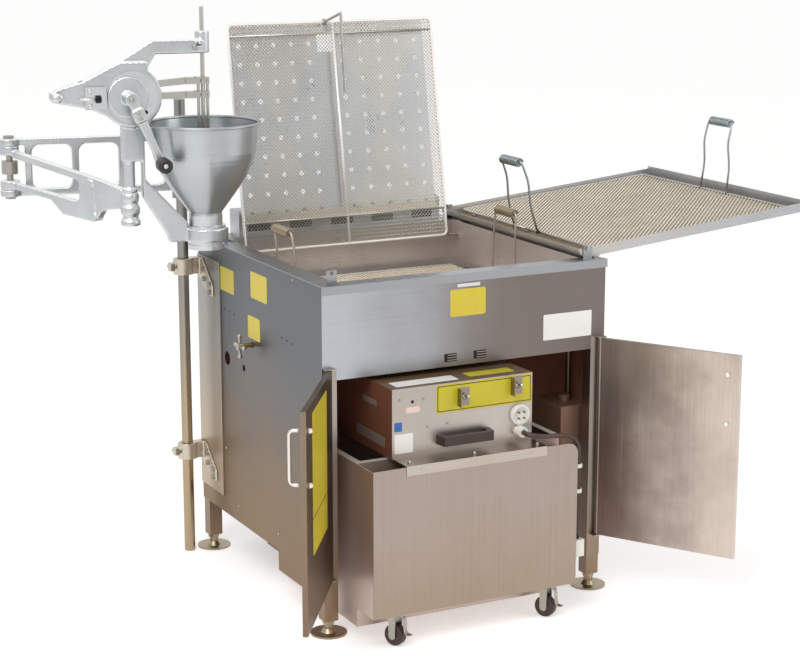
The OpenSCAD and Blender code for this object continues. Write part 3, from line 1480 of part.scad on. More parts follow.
// Hopper: a slightly tapered drum that bends into a cone and a short neck

shoulder_z = hopper_z + hopper_h * shoulder_share;
function hopper_bend(t) = let (
    a = [shoulder_r, shoulder_z + bend_share * (hopper_z + hopper_h - shoulder_z)],
    b = [shoulder_r - over, shoulder_z],
    c = [hopper_neck_r + (shoulder_r - hopper_neck_r) * bend_share,
         hopper_z + hopper_neck_h + (shoulder_z - hopper_z - hopper_neck_h) * bend_share])
  a * (1 - t) * (1 - t) + b * 2 * t * (1 - t) + c * t * t;
function lip_point(a) = [hopper_d / 2 + hopper_lip_r * (1 + cos(a)), hopper_z + hopper_h + hopper_lip_r * sin(a)];
hopper_outer = concat([for (i = [0 : bend_steps]) lip_point(180 - 360 * i / (bend_steps + 1))], [for (i = [0 : bend_steps]) hopper_bend(i / bend_steps)],
                      [[hopper_neck_r, hopper_z + hopper_neck_h], [hopper_neck_r, hopper_z]]);

module hopper() color(spun) at_head() translate([axis_u, 0, 0]) rotate_extrude() {
  n = len(hopper_outer);
  polygon(concat(hopper_outer, [for (i = [n - 1 : -1 : bend_steps]) hopper_outer[i] - [hopper_wall, 0]],
                 [[hopper_d / 2 - hopper_wall, hopper_z + hopper_h]]));
}

module forming_cylinder() color(spun) at_head() translate([axis_u, 0, 0]) difference() {
  union() {
    translate([0, 0, cyl_low]) cylinder(r = cyl_r, h = cyl_h);
    translate([0, 0, cyl_low]) cylinder(r = cyl_foot_r, h = cyl_foot_t);
    translate([0, 0, clamp_ring_z + clamp_ring_h]) cylinder(r = cyl_flange_r, h = cyl_flange_t);
  }
  translate([0, 0, cyl_low - over]) cylinder(r = cyl_r - cyl_wall, h = cyl_h + 2 * over);
}

left_side_panel();
right_side_panel();
back_panel();
front_apron();
corner_legs();
levelling_feet();
kettle();
heat_tubes();
gas_burner();
gas_control_box();
drain_valve();
drain_handle();
hinge_brackets();
rim_brackets();
pole_mount_plate();
pole_clamps();
cabinet_bolts();
support_pole();
left_door();
left_door_handle();
right_door();
right_door_handle();
submerger_screen();
submerger_pivots();
submerger_plates();
submerger_handle();
drain_tray();
drain_screen();
drain_screen_bails();
drain_screen_grips();
frying_screen();
frying_screen_bails();
frying_screen_grips();
cart_tank();
cart_front_panel();
control_box();
box_base_plate();
box_handle();
cable_fittings();
heater_lead();
filter_unit();
switch_guards();
switch_left();
switch_right();
caster_fork_left();
caster_fork_right();
wheel_front_left();
wheel_front_right();
rear_wheels();
inner_swing_link();
elbow_pin();
outer_swing_link();
depositor_frame();
cover_plate();
crank_handle();
crank_knob();
rocker_levers();
plunger();
hopper();
forming_cylinder();
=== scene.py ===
"""Looks of a free-standing donut fryer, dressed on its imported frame."""
import math

import bmesh
import bpy
import numpy as np
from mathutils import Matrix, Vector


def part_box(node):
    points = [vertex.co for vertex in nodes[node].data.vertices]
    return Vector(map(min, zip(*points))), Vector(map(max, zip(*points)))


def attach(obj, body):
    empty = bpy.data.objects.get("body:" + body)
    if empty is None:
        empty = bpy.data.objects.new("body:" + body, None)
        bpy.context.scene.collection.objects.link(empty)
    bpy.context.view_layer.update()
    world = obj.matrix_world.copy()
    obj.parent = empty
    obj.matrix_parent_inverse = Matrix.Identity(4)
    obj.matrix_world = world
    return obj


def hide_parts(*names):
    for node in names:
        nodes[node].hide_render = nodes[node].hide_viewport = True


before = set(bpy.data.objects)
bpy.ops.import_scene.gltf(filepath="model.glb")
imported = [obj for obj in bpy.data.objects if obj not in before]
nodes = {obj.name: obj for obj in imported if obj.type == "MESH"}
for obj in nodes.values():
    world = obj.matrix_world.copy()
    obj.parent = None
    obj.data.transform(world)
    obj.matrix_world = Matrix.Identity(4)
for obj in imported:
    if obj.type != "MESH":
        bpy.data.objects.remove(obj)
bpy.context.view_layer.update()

# Camera and room: a long lens from the front left, a little above the rim, over a seamless white floor.
# The light is a bright even studio: a white room all round and one broad lamp high on the left.
corner = np.array(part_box("front_apron")[0])
corner[2] = 0.0
MM = 0.001


def at(x, y, z):
    """A place in millimetres from the cabinet's front left corner on the floor, in the frame's metres."""
    return corner + MM * np.array([x, y, z], float)


VIEW_FROM = (-2027.1, -4349.4, 1891.6)
VIEW_TURN = 27.29
VIEW_DOWN = 12.694
VIEW_LENS = 89.45
camera = bpy.data.objects.new("camera", bpy.data.cameras.new("camera"))
camera.data.lens = VIEW_LENS
camera.data.sensor_width = 36.0
camera.data.clip_end = 50.0
camera.location = at(*VIEW_FROM)
camera.rotation_euler = (math.radians(90.0 - VIEW_DOWN), 0.0, math.radians(-VIEW_TURN))
bpy.context.scene.collection.objects.link(camera)
bpy.context.scene.camera = camera
bpy.context.scene.view_settings.view_transform = "Standard"


def linear(code):
    """An sRGB hex colour as linear red, green, blue and full alpha."""
    srgb = np.array([int(code[i:i + 2], 16) for i in (1, 3, 5)]) / 255.0
    return (*np.where(srgb <= 0.04045, srgb / 12.92, ((srgb + 0.055) / 1.055) ** 2.4), 1.0)


def add(tree, kind, links=None, **settings):
    """Adds a shader node with its settings, and links or sets its inputs by name or number."""
    node = tree.nodes.new("ShaderNode" + kind)
    for name, value in settings.items():
        setattr(node, name, value)
    for socket, value in (links or {}).items():
        if isinstance(value, bpy.types.NodeSocket):
            tree.links.new(value, node.inputs[socket])
        else:
            node.inputs[socket].default_value = value
    return node


ROOM_WHITE = "#ffffff"
ROOM_FILL = 0.6
ROOM_FRONT = 0.62
world = bpy.data.worlds.new("studio")
bpy.context.scene.world = world
world.use_nodes = True
room = world.node_tree
room.nodes.clear()
ray = add(room, "LightPath")
toward = add(room, "SeparateXYZ", {0: add(room, "TexCoord").outputs["Generated"]})
behind = add(room, "Math", {0: toward.outputs["Z"], 1: 0.8, 2: toward.outputs["Y"]},
             operation="MULTIPLY_ADD")
mirrored = add(room, "MapRange", {"Value": behind.outputs[0], "From Min": -0.7, "From Max": 0.3,
                                  "To Min": ROOM_FRONT, "To Max": 1.0})
fill = add(room, "Mix", {0: ray.outputs["Is Glossy Ray"], 2: ROOM_FILL, 3: mirrored.outputs[0]})
seen = add(room, "Math", {0: ray.outputs["Is Camera Ray"], 1: ray.outputs["Is Transmission Ray"]},
           operation="MAXIMUM")
level = add(room, "Mix", {0: seen.outputs[0], 2: fill.outputs[0], 3: 1.0})
glow = add(room, "Background", {"Color": linear(ROOM_WHITE), "Strength": level.outputs[0]})
add(room, "OutputWorld", {"Surface": glow.outputs[0]})


def lamp(name, place, aim, size, power):
    """A square area lamp at a place, turned to its aim, both in cabinet millimetres."""
    data = bpy.data.lights.new(name, "AREA")
    data.size = size
    data.energy = power
    obj = bpy.data.objects.new(name, data)
    way = Vector(at(*aim) - at(*place))
    obj.location = at(*place)
    obj.rotation_euler = way.to_track_quat("-Z", "Y").to_euler()
    bpy.context.scene.collection.objects.link(obj)


lamp("key", (-2200, -1800, 3600), (400, 300, 600), 2.6, 95.0)
lamp("side", (3200, -2400, 2400), (500, 200, 600), 2.2, 30.0)


def build(name, points, faces, material, body, slot, hides=(), smooth=True):
    """Makes a piece from points and faces in the frame, finishes it, and rides it on a body."""
    mesh = bpy.data.meshes.new(name)
    corners = np.asarray(points, float).reshape(-1, 3).tolist()
    mesh.from_pydata(corners, [], [list(map(int, face)) for face in faces])
    mesh.polygons.foreach_set("use_smooth", np.full(len(mesh.polygons), smooth))
    mesh.materials.append(material)
    obj = bpy.data.objects.new(name, mesh)
    bpy.context.scene.collection.objects.link(obj)
    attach(obj, body)
    if hides:
        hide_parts(*hides)
    return obj


FLOOR_HALF = 60.0
FLOOR_GLOW = 0.18
FLOOR_SEEN = 0.42
PAPER = "#f9f8f7"
floor_mat = bpy.data.materials.new("studio_floor")
floor_mat.use_nodes = True
tree = floor_mat.node_tree
tree.nodes.clear()
ray = add(tree, "LightPath")
seen = add(tree, "Math", {0: ray.outputs["Is Camera Ray"], 1: ray.outputs["Is Glossy Ray"]},
           operation="MAXIMUM")
shine = add(tree, "Mix", {0: seen.outputs[0], 2: FLOOR_GLOW, 3: FLOOR_SEEN})
paper = add(tree, "BsdfDiffuse", {"Color": linear(PAPER)})
lit = add(tree, "Emission", {"Color": linear(ROOM_WHITE), "Strength": shine.outputs[0]})
both = add(tree, "AddShader", {0: paper.outputs[0], 1: lit.outputs[0]})
add(tree, "OutputMaterial", {"Surface": both.outputs[0]})
floor_mesh = bpy.data.meshes.new("floor")
floor_mesh.from_pydata([(-FLOOR_HALF, -FLOOR_HALF, 0), (FLOOR_HALF, -FLOOR_HALF, 0),
                        (FLOOR_HALF, FLOOR_HALF, 0), (-FLOOR_HALF, FLOOR_HALF, 0)], [], [(0, 1, 2, 3)])
floor_mesh.materials.append(floor_mat)
floor = bpy.data.objects.new("floor", floor_mesh)
bpy.context.scene.collection.objects.link(floor)

# Heater lead: a thick round cable in a rubber jacket. It runs from its gland over the panel's round corner,
# down the tank's side and into its junction box. Both ends and two clips hold it, so it keeps this route.
LEAD_ROUTE = [(508, -126, 510), (508, -138, 509), (514, -150, 508), (528, -159, 506), (548, -162, 503),
              (575, -160, 500), (602, -156, 497), (628, -150, 492), (648, -145, 483), (661, -142, 468),
              (667, -140, 448), (668, -140, 420), (668, -140, 390), (668, -140, 345), (668, -140, 300),
              (668, -140, 250), (668, -140, 205)]
LEAD_DIAMETER = 13.0 * MM
LEAD_BEND = 20.0 * MM


def finish(name, metal, rough):
    """A new material with its principled shader; returns the material, its tree and the shader."""
    material = bpy.data.materials.new(name)
    material.use_nodes = True
    shader = material.node_tree.nodes["Principled BSDF"]
    shader.inputs["Metallic"].default_value = metal
    shader.inputs["Roughness"].default_value = rough
    return material, material.node_tree, shader


def toned(tree, shader, base, shade):
    """Gives the shader a base colour times an uneven shade of about one."""
    grey = add(tree, "CombineColor", {i: shade.outputs[0] for i in range(3)})
    worn = add(tree, "Mix", {0: 1.0, 6: base, 7: grey.outputs[0]}, data_type="RGBA", blend_type="MULTIPLY")
    tree.links.new(worn.outputs[2], shader.inputs["Base Color"])


DRIFTS_PER_METRE = 14.0
TOP_METAL = 0.35


def plated(name, colour, rough=0.38, grain=0.0015, spread=0.14, metal=1.0, top=None):
    """Dull plated or cast metal: a grain of 1 to 4 mm, drawn coarser than the real one so that it shows, and
    a tone that drifts over 70 mm. Top is a paler colour for the faces that look up, a painted highlight;
    those faces also mirror less."""
    material, tree, shader = finish(name, metal, rough)
    coords = add(tree, "TexCoord")
    place = coords.outputs["Object"]
    base = linear(colour)
    if top:
        rise = add(tree, "SeparateXYZ", {0: coords.outputs["Normal"]}).outputs["Z"]
        level = add(tree, "MapRange", {"Value": rise, "From Min": 0.2, "From Max": 0.8})
        base = add(tree, "Mix", {0: level.outputs[0], 6: base, 7: linear(top)}, data_type="RGBA").outputs[2]
        bare = add(tree, "MapRange", {"Value": level.outputs[0], "To Min": metal,
                                      "To Max": TOP_METAL * metal})
        tree.links.new(bare.outputs[0], shader.inputs["Metallic"])
    grit = add(tree, "TexNoise", {"Vector": place, "Scale": 1.0 / grain, "Detail": 2.0})
    drift = add(tree, "TexNoise", {"Vector": place, "Scale": DRIFTS_PER_METRE, "Detail": 3.0})
    tone = add(tree, "Math", {0: grit.outputs[0], 1: drift.outputs[0]}, operation="ADD")
    shade = add(tree, "MapRange", {"Value": tone.outputs[0], "From Min": 0.6, "From Max": 1.4,
                                   "To Min": 1.0 - spread, "To Max": 1.0 + spread})
    toned(tree, shader, base, shade)
    gloss = add(tree, "MapRange", {"Value": drift.outputs[0], "To Min": rough - 0.1,
                                   "To Max": rough + 0.12})
    tree.links.new(gloss.outputs[0], shader.inputs["Roughness"])
    bump = add(tree, "Bump", {"Height": grit.outputs[0], "Strength": 0.15, "Distance": grain / 4})
    tree.links.new(bump.outputs[0], shader.inputs["Normal"])
    return material


def moulded(name, colour, rough=0.42, grain=0.0012, spread=0.12):
    """Moulded plastic, rubber or film: one colour with a fine grain and slightly uneven gloss."""
    return plated(name, colour, rough, grain, spread, 0.0)


def unit(v):
    """Vectors of length one."""
    return v / np.linalg.norm(v, axis=-1, keepdims=True)


def walls(rings, sides):
    """Faces between rings that have the same number of points, numbered ring by ring."""
    i, j = np.meshgrid(np.arange(rings - 1), np.arange(sides), indexing="ij")
    k = (j + 1) % sides
    here, there = i * sides, (i + 1) * sides
    return np.stack([here + j, here + k, there + k, there + j], -1).reshape(-1, 4)


def sweep(path, radius, ref, sides=12):
    """A round tube along a path: rings square to the way, set by one reference direction, and flat ends."""
    path = np.asarray(path, float)
    way = unit(np.gradient(path, axis=0))
    side = unit(np.cross(way, np.asarray(ref, float)))
    lift = np.cross(side, way)
    turn = np.linspace(0, 2 * math.pi, sides, endpoint=False)
    ring = side[:, None] * np.cos(turn)[:, None] + lift[:, None] * np.sin(turn)[:, None]
    points = (path[:, None] + radius * ring).reshape(-1, 3)
    n = len(path)
    other_way_round = [0, 3, 2, 1]
    caps = [list(range(sides)), list(range((n - 1) * sides, n * sides))[::-1]]
    return points, walls(n, sides)[:, other_way_round].tolist() + caps


def eased(points, radius, steps=6):
    """A path with each corner swapped for a curve that starts and ends a radius away from it."""
    points = np.asarray(points, float)
    path = [points[:1]]
    t = np.linspace(0, 1, steps + 1)[:, None]
    for a, p, b in zip(points[:-2], points[1:-1], points[2:]):
        near = min(radius, 0.45 * np.linalg.norm(a - p), 0.45 * np.linalg.norm(b - p))
        s, e = p + unit(a - p) * near, p + unit(b - p) * near
        path.append(s * (1 - t) ** 2 + 2 * p * t * (1 - t) + e * t ** 2)
    path.append(points[-1:])
    return np.concatenate(path)


lead_rubber = moulded("brown_cable_rubber", "#43322a", 0.4)
route = eased(np.array([at(*p) for p in LEAD_ROUTE]), LEAD_BEND, 5)
points, faces = sweep(route, LEAD_DIAMETER / 2, (1, 1, 0.6), 16)
lead = build("lead_jacket", points, faces, lead_rubber, "cart", "cord_rubber", ("heater_lead",))


# Cabinet panels, legs and feet: stainless sheet with a sanded grain, folded and spot welded to square tube.
# Outside they are blue-grey above and browned by heat and oil toward the floor. Inside, the bay's faces are
# oil brown, drawn paler as painted light against the bay's shade, and the left inside face paler still.
STREAKS_PER_METRE, STREAKS_ALONG = 220.0, 2.5
CLOUDS_PER_METRE = 4.5
CLOUD_PUSH = 0.36
DULL_METAL = 0.2


def sanded_steel(name, first, last, way, start, stop, grain, rough=0.34, cloud=0.12, facing=(), metal=1.0):
    """Stainless sheet: two colours that change along a way, streaks along one axis and clouds a hand wide.
    The streaks are 4.5 mm wide and 400 mm long: sanding is far finer, and wouldn't show. Facing lists an
    axis, a sign and a colour, for the duller faces that look that way; some uses paint light or shade there."""
    material, tree, shader = finish(name, metal, rough)
    coords = add(tree, "TexCoord")
    place = coords.outputs["Object"]
    stretch = [STREAKS_ALONG if i == grain else STREAKS_PER_METRE for i in range(3)]
    turned_to = add(tree, "Mapping", {"Vector": place, "Scale": stretch})
    streak = add(tree, "TexNoise", {"Vector": turned_to.outputs[0], "Scale": 1.0, "Detail": 3.0})
    clouds = add(tree, "TexNoise", {"Vector": place, "Scale": CLOUDS_PER_METRE, "Detail": 4.0,
                                    "Roughness": 0.6})
    run = add(tree, "VectorMath", {0: place, 1: way}, operation="DOT_PRODUCT").outputs["Value"]
    uneven = add(tree, "Math", {0: clouds.outputs[0], 1: CLOUD_PUSH, 2: run}, operation="MULTIPLY_ADD")
    ends = {"From Min": start + CLOUD_PUSH / 2, "From Max": stop + CLOUD_PUSH / 2}
    share = add(tree, "MapRange", {"Value": uneven.outputs[0], **ends}, interpolation_type="SMOOTHSTEP")
    tint = add(tree, "Mix", {0: share.outputs[0], 6: linear(first), 7: linear(last)}, data_type="RGBA")
    turned_faces = None
    for axis, sign, colour in facing:
        normal = add(tree, "SeparateXYZ", {0: coords.outputs["Normal"]}).outputs[axis]
        looks = add(tree, "MapRange", {"Value": normal, "From Min": sign * 0.6, "From Max": sign * 0.8})
        tint = add(tree, "Mix", {0: looks.outputs[0], 6: tint.outputs[2], 7: linear(colour)},
                   data_type="RGBA")
        if turned_faces:
            looks = add(tree, "Math", {0: turned_faces.outputs[0], 1: looks.outputs[0]},
                        operation="MAXIMUM")
        turned_faces = looks
    if turned_faces:
        dull = add(tree, "MapRange", {"Value": turned_faces.outputs[0], "To Min": metal,
                                      "To Max": DULL_METAL})
        tree.links.new(dull.outputs[0], shader.inputs["Metallic"])
    tone = add(tree, "Math", {0: streak.outputs[0], 1: clouds.outputs[0]}, operation="ADD")
    shade = add(tree, "MapRange", {"Value": tone.outputs[0], "From Min": 0.6, "From Max": 1.4,
                                   "To Min": 1.0 - cloud, "To Max": 1.0 + cloud})
    toned(tree, shader, tint.outputs[2], shade)
    gloss = add(tree, "MapRange", {"Value": tone.outputs[0], "From Min": 0.6, "From Max": 1.4,
                                   "To Min": rough - 0.07, "To Max": rough + 0.1})
    tree.links.new(gloss.outputs[0], shader.inputs["Roughness"])
    bump = add(tree, "Bump", {"Height": streak.outputs[0], "Strength": 0.12, "Distance": 0.0006})
    tree.links.new(bump.outputs[0], shader.inputs["Normal"])
    return material


def dress(material, *names):
    """Gives CAD pieces their finish."""
    for name in names:
        nodes[name].data.materials.clear()
        nodes[name].data.materials.append(material)


UP, ACROSS = (0.0, 0.0, 1.0), (1.0, 0.0, 0.0)
# Bay colours: partly oil brown, partly painted light, paler than the faces are against their shade; the left
# one most.
BAY_BROWN_AND_PAINTED_LIGHT, BAY_LEFT_PAINTED_LIGHT = "#91614a", "#e2a68a"
HIGH, LOW = "#65686d", "#80694d"
PANELS = [("left", "left_side_panel", 1, (0, 1, BAY_LEFT_PAINTED_LIGHT)), ("right", "right_side_panel", 1, (0, -1, BAY_BROWN_AND_PAINTED_LIGHT)),
          ("back", "back_panel", 0, (1, -1, BAY_BROWN_AND_PAINTED_LIGHT))]
for name, panel, grain, inner in PANELS:
    dress(sanded_steel(f"sanded_{name}_steel", LOW, HIGH, UP, 0.15, 0.8, grain, facing=[inner]), panel)
dress(sanded_steel("sanded_mount_steel", "#b8a792", "#9d9d9b", UP, 0.2, 0.9, 2), "pole_mount_plate")
apron_steel = sanded_steel("sanded_apron_steel", "#b0b4ba", "#7a716c", ACROSS, -0.5, 0.1, 0, 0.32, 0.07)
dress(apron_steel, "front_apron")
dress(sanded_steel("sanded_leg_steel", "#86705a", "#a49c93", UP, 0.0, 0.45, 2), "corner_legs")
dress(plated("browned_foot_steel", "#a4947d", 0.34), "levelling_feet")


def plate(width, height, corner, thick):
    """A thin plate in the x and y plane: an outline with round corners at the bottom and, drawn in by half
    its thickness, at the top. Sizes in millimetres."""
    steps = 5
    n = 4 * steps
    t = np.linspace(0, math.pi / 2, steps)
    bend = np.concatenate([t, t + math.pi / 2, t + math.pi, t + 1.5 * math.pi])
    hub_x = np.repeat([width - corner, corner, corner, width - corner], steps)
    hub_y = np.repeat([height - corner, height - corner, corner, corner], steps)
    low = np.stack([hub_x + corner * np.cos(bend), hub_y + corner * np.sin(bend), np.zeros(n)], -1)
    ease = max(corner - thick / 2, 0.0)
    high = np.stack([hub_x + ease * np.cos(bend), hub_y + ease * np.sin(bend), np.full(n, thick)], -1)
    ends = [list(range(n))[::-1], list(range(n, 2 * n))]
    return np.concatenate([low, high]) * MM, walls(2, n).tolist() + ends


def together(*shapes):
    """Several lists of points and faces as one."""
    points, faces, base = [], [], 0
    for p, f in shapes:
        points.append(np.asarray(p, float))
        faces += [[int(v) + base for v in face] for face in f]
        base += len(p)
    return np.concatenate(points), faces


def placed(shape, origin, x_way, y_way):
    """A flat shape moved so that its origin, x and y lie at a place and along two ways of the frame."""
    points, faces = shape
    x_way, y_way = np.asarray(x_way, float), np.asarray(y_way, float)
    points = np.asarray(points)
    moved = (np.asarray(origin) + points[:, :1] * x_way + points[:, 1:2] * y_way
             + points[:, 2:] * np.cross(x_way, y_way))
    return moved, faces


def turned(places, way, profile, sides=14):
    """Small turned heads that stand on places along one way: rings of the profile's radii at its heights, in
    millimetres, with both ends closed."""
    way = unit(np.asarray(way, float))
    side = unit(np.cross(way, (0.3, 0.5, 0.81)))
    lift = np.cross(way, side)
    turn = np.linspace(0, 2 * math.pi, sides, endpoint=False)
    ring = np.cos(turn)[:, None] * side + np.sin(turn)[:, None] * lift
    profile = np.asarray(profile, float) * MM
    one = profile[:, None, :1] * ring + profile[:, None, 1:] * way
    points = (np.asarray(places, float)[:, None, None] + one).reshape(-1, 3)
    m = len(profile)
    base = np.arange(len(places)) * m * sides
    flanks = (base[:, None, None] + walls(m, sides)).reshape(-1, 4).tolist()
    lows = (base[:, None] + np.arange(sides)[::-1]).tolist()
    tops = (base[:, None] + (m - 1) * sides + np.arange(sides)).tolist()
    return points, flanks + lows + tops


right, back, upright = np.eye(3)
zinc = plated("dull_zinc_plate", "#a8a49c")
RIVET = [(4.2, 0), (4.0, 0.9), (3.2, 1.7), (1.8, 2.2), (0.5, 2.4)]
left_rivets = [at(0, y, z) for y, z in ((172, 902), (557, 192), (283, 192), (640, 340))]
points, faces = turned(left_rivets, -right, RIVET)
build("panel_rivets", points, faces, zinc, "cabinet", "zinc_plate")
# Dark discs and plates stand for holes and openings: painted shade.
painted_shade_dark = moulded("shadowed_hole", "#1c1614", 0.7)
PINHOLES = [(632, 739), (597, 738), (567, 737), (246, 736), (214, 735), (183, 733)]
small_holes = [at(0, y, z) for y, z in PINHOLES]
points, faces = turned(small_holes, -right, [(3.2, 0), (3.2, 0.25)])
build("panel_pinholes", points, faces, painted_shade_dark, "cabinet", "dark_plastic", smooth=False)

# Plates on the cabinet: bare printed film and one bright tag, stuck flat on the panels.
# They carry no words; the film is a little scuffed and its yellow uneven.
yellow_film = moulded("yellow_printed_film", "#cfbb35", 0.36, 0.004, 0.07)
white_film = moulded("white_printed_film", "#e9e7e2", 0.34, 0.004, 0.04)
front_plates = placed(plate(104, 71, 6, 0.6), at(361, 0, 802), right, upright)
side_plates = [placed(plate(w, h, 5, 0.6), at(0, y, z), -back, upright)
               for y, z, w, h in ((662, 790, 97, 66), (448, 806, 108, 72), (470, 693, 80, 62))]
points, faces = together(front_plates, *side_plates)
build("yellow_plates", points, faces, yellow_film, "cabinet", "white_plastic", smooth=False)
points, faces = placed(plate(149, 69, 3, 0.6), at(640, 0, 711), right, upright)
build("white_plate", points, faces, white_film, "cabinet", "white_plastic", smooth=False)
bright = plated("polished_nickel", "#d2d1ce", 0.18, 0.003, 0.06)
points, faces = placed(plate(67, 10, 2, 1.4), at(381, 0, 878), right, upright)
build("bright_tag", points, faces, bright, "cabinet", "zinc_plate", smooth=False)

# Vents in the apron: two louvred inserts of thin pressed steel, clipped into holes in the sheet.
# Each has three flat blades, with a dark plate of painted shade behind them.
apron_blade = plated("pressed_louvre_steel", "#a39e9a", 0.36)
VENT_FACE = 2.0
BLADE_IN, BLADE_LOW, BLADE_STEP = 8.5, 2.4, 6.6
vents = [(345.5, 685.0), (431.5, 685.0)]
backs = [placed(plate(37, 21.5, 1.5, 0.4), at(x, VENT_FACE, z), right, upright) for x, z in vents]
build("vent_backs", *together(*backs), painted_shade_dark, "cabinet", "dark_plastic", smooth=False)
blades = [placed(plate(28, 3.8, 1.4, 1.8), at(x + BLADE_IN, VENT_FACE, z + BLADE_LOW + BLADE_STEP * i),
                 right, upright) for x, z in vents for i in range(3)]
build("vent_blades", *together(*blades), apron_blade, "cabinet", "stainless", smooth=False)

# Kettle: a deep welded stainless tank with a flat rim and a folded front skirt, riveted at its back wall.
# Its inside is paler and dull, stained by hot oil. The tubes across its floor carry the flame.
KETTLE_MID, KETTLE_HALF = at(415, 390, 0), (358.6 * MM, 345.6 * MM)
rim_steel = sanded_steel("polished_rim_steel", "#a1968f", "#9c9ea1", UP, 0.72, 0.9, 0, 0.3, 0.04)
tree = rim_steel.node_tree
shader = tree.nodes["Principled BSDF"]
place = add(tree, "TexCoord").outputs["Object"]
axes = add(tree, "SeparateXYZ", {0: place})
spans = [add(tree, "Math", {0: axes.outputs[i], 1: KETTLE_MID[i], 2: KETTLE_HALF[i]},
             operation="COMPARE") for i in (0, 1)]
inside = add(tree, "Math", {0: spans[0].outputs[0], 1: spans[1].outputs[0]}, operation="MULTIPLY")
stain = add(tree, "TexNoise", {"Vector": place, "Scale": 6.0, "Detail": 4.0})
brown = add(tree, "Mix", {0: stain.outputs[0], 6: linear("#d2c9c6"), 7: linear("#b2a296")},
            data_type="RGBA")
rim_colour = shader.inputs["Base Color"].links[0].from_socket
tint = add(tree, "Mix", {0: inside.outputs[0], 6: rim_colour, 7: brown.outputs[2]}, data_type="RGBA")
tree.links.new(tint.outputs[2], shader.inputs["Base Color"])
dull = add(tree, "MapRange", {"Value": inside.outputs[0], "To Min": 1.0, "To Max": 0.4})
tree.links.new(dull.outputs[0], shader.inputs["Metallic"])
tube_steel = sanded_steel("heat_browned_steel", "#5c4f44", "#7d7166", UP, 0.5, 0.75, 0, 0.42)
dress(rim_steel, "kettle", "rim_brackets")
dress(tube_steel, "heat_tubes", "gas_burner")

# Flue cover: a box folded from stainless sheet, which sits on the flat rim behind the submerger.
# Burnt gas leaves through a row of slots in its front, drawn as dark plates of painted shade.
COVER = [(752, 914), (820, 914), (820, 982), (816, 986), (760, 986), (752, 978)]
COVER_X = (97, 735)
SLOT_X, SLOT_STEP, SLOT_Z = 122, 130, 926


def folded(outline, x0, x1):
    """A folded sheet form: a closed outline in y and z, with eased folds, carried from one x to another."""
    bends = eased(outline + outline[:1], 3.0, 3)[:-1]
    n = len(bends)
    points = np.concatenate([[at(x, y, z) for y, z in bends] for x in (x0, x1)])
    return points, walls(2, n).tolist() + [list(range(n))[::-1], list(range(n, 2 * n))]


flue_steel = sanded_steel("shaded_flue_steel", "#d6dade", "#b4b7bc", UP, 0.92, 0.98, 0, 0.36, metal=0.5)
build("flue_cover", *folded(COVER, *COVER_X), flue_steel, "cabinet", "stainless", smooth=False)
slots = [placed(plate(70, 34, 5, 0.5), at(SLOT_X + SLOT_STEP * i, COVER[0][0], SLOT_Z), right, upright)
         for i in range(5)]
build("flue_slots", *together(*slots), painted_shade_dark, "cabinet", "dark_plastic", smooth=False)

# Plated and cast fittings: zinc-plated bolts, brackets and boxes, and a brass drain valve.
# Plating is dull and slightly yellow; brass is darkened by heat.
brass = plated("cast_brass", "#8f7d58")
dress(zinc, "hinge_brackets", "cabinet_bolts", "drain_handle")
dress(brass, "drain_valve")
gas_box_steel = sanded_steel("browned_box_steel", "#7d5f4d", "#8b6c5a", UP, 0.4, 0.6, 2, 0.45, metal=0.3)
dress(gas_box_steel, "gas_control_box")
pole_steel = sanded_steel("ground_steel_tube", "#ab987c", "#8d8c88", UP, 0.2, 0.95, 2, 0.28, 0.06)
dress(pole_steel, "support_pole")

# Doors: folded stainless pans with a liner sheet and a bent rod pull, hung on two pins each.
# Their faces show slow clouds from wiping and a browner lower half. The left liner carries two bare plates.
for side, tints, run in (("left", ("#7f6b58", "#857668"), (UP, 0.1, 0.75)),
                         ("right", ("#9b8d86", "#cabcb2"), (ACROSS, 0.35, 0.56))):
    dress(sanded_steel(f"wiped_{side}_door_steel", *tints, *run, 2, 0.36, 0.14), f"{side}_door")
rod_steel = plated("drawn_steel_rod", "#b3b0ab", 0.26, 0.003, 0.1)
pull_steel = plated("bent_pull_rod", "#d9d4cc", 0.26, 0.003, 0.06, 0.8)
dress(rod_steel, "submerger_handle", "submerger_pivots")
DOOR_OPEN = math.radians(-124.0)
DOOR_FACE = 6.5
HINGE_Y = -8
LEFT_HINGE, RIGHT_HINGE = 15, 815
FILM_X, FILM_WIDE = 308, 216
door_x = np.array([math.cos(DOOR_OPEN), math.sin(DOOR_OPEN), 0.0])
door_y = np.array([-math.sin(DOOR_OPEN), math.cos(DOOR_OPEN), 0.0])
film_at = MM * (FILM_X * door_x + DOOR_FACE * door_y)
door_plates = [placed(plate(FILM_WIDE, high, 4, 0.6), at(LEFT_HINGE, HINGE_Y, low) + film_at, -door_x,
                      upright) for low, high in ((325, 90), (419, 258))]
points, faces = together(*door_plates)
build("door_plates", points, faces, yellow_film, "left_door", "white_plastic", smooth=False)
PULL_X, PULL_OUT, PULL_ENDS = 366.0, 32.0, (518.0, 650.0)
PULL_ROD, PULL_BEND = 4.5 * MM, 16.0 * MM
NUT = [(6.5, 0), (6.5, 4.0), (5.6, 7.2), (3.6, 9.4), (0.8, 10.3)]
RIGHT_OPEN = math.radians(121.5)
right_door_x = np.array([-math.cos(RIGHT_OPEN), -math.sin(RIGHT_OPEN), 0.0])
right_door_y = np.array([-math.sin(RIGHT_OPEN), math.cos(RIGHT_OPEN), 0.0])
nut_steel = plated("domed_pull_nut", "#f0ede6", 0.3, 0.003, 0.04, 0.4)
DOORS = [("left_door", LEFT_HINGE, door_x, door_y), ("right_door", RIGHT_HINGE, right_door_x, right_door_y)]
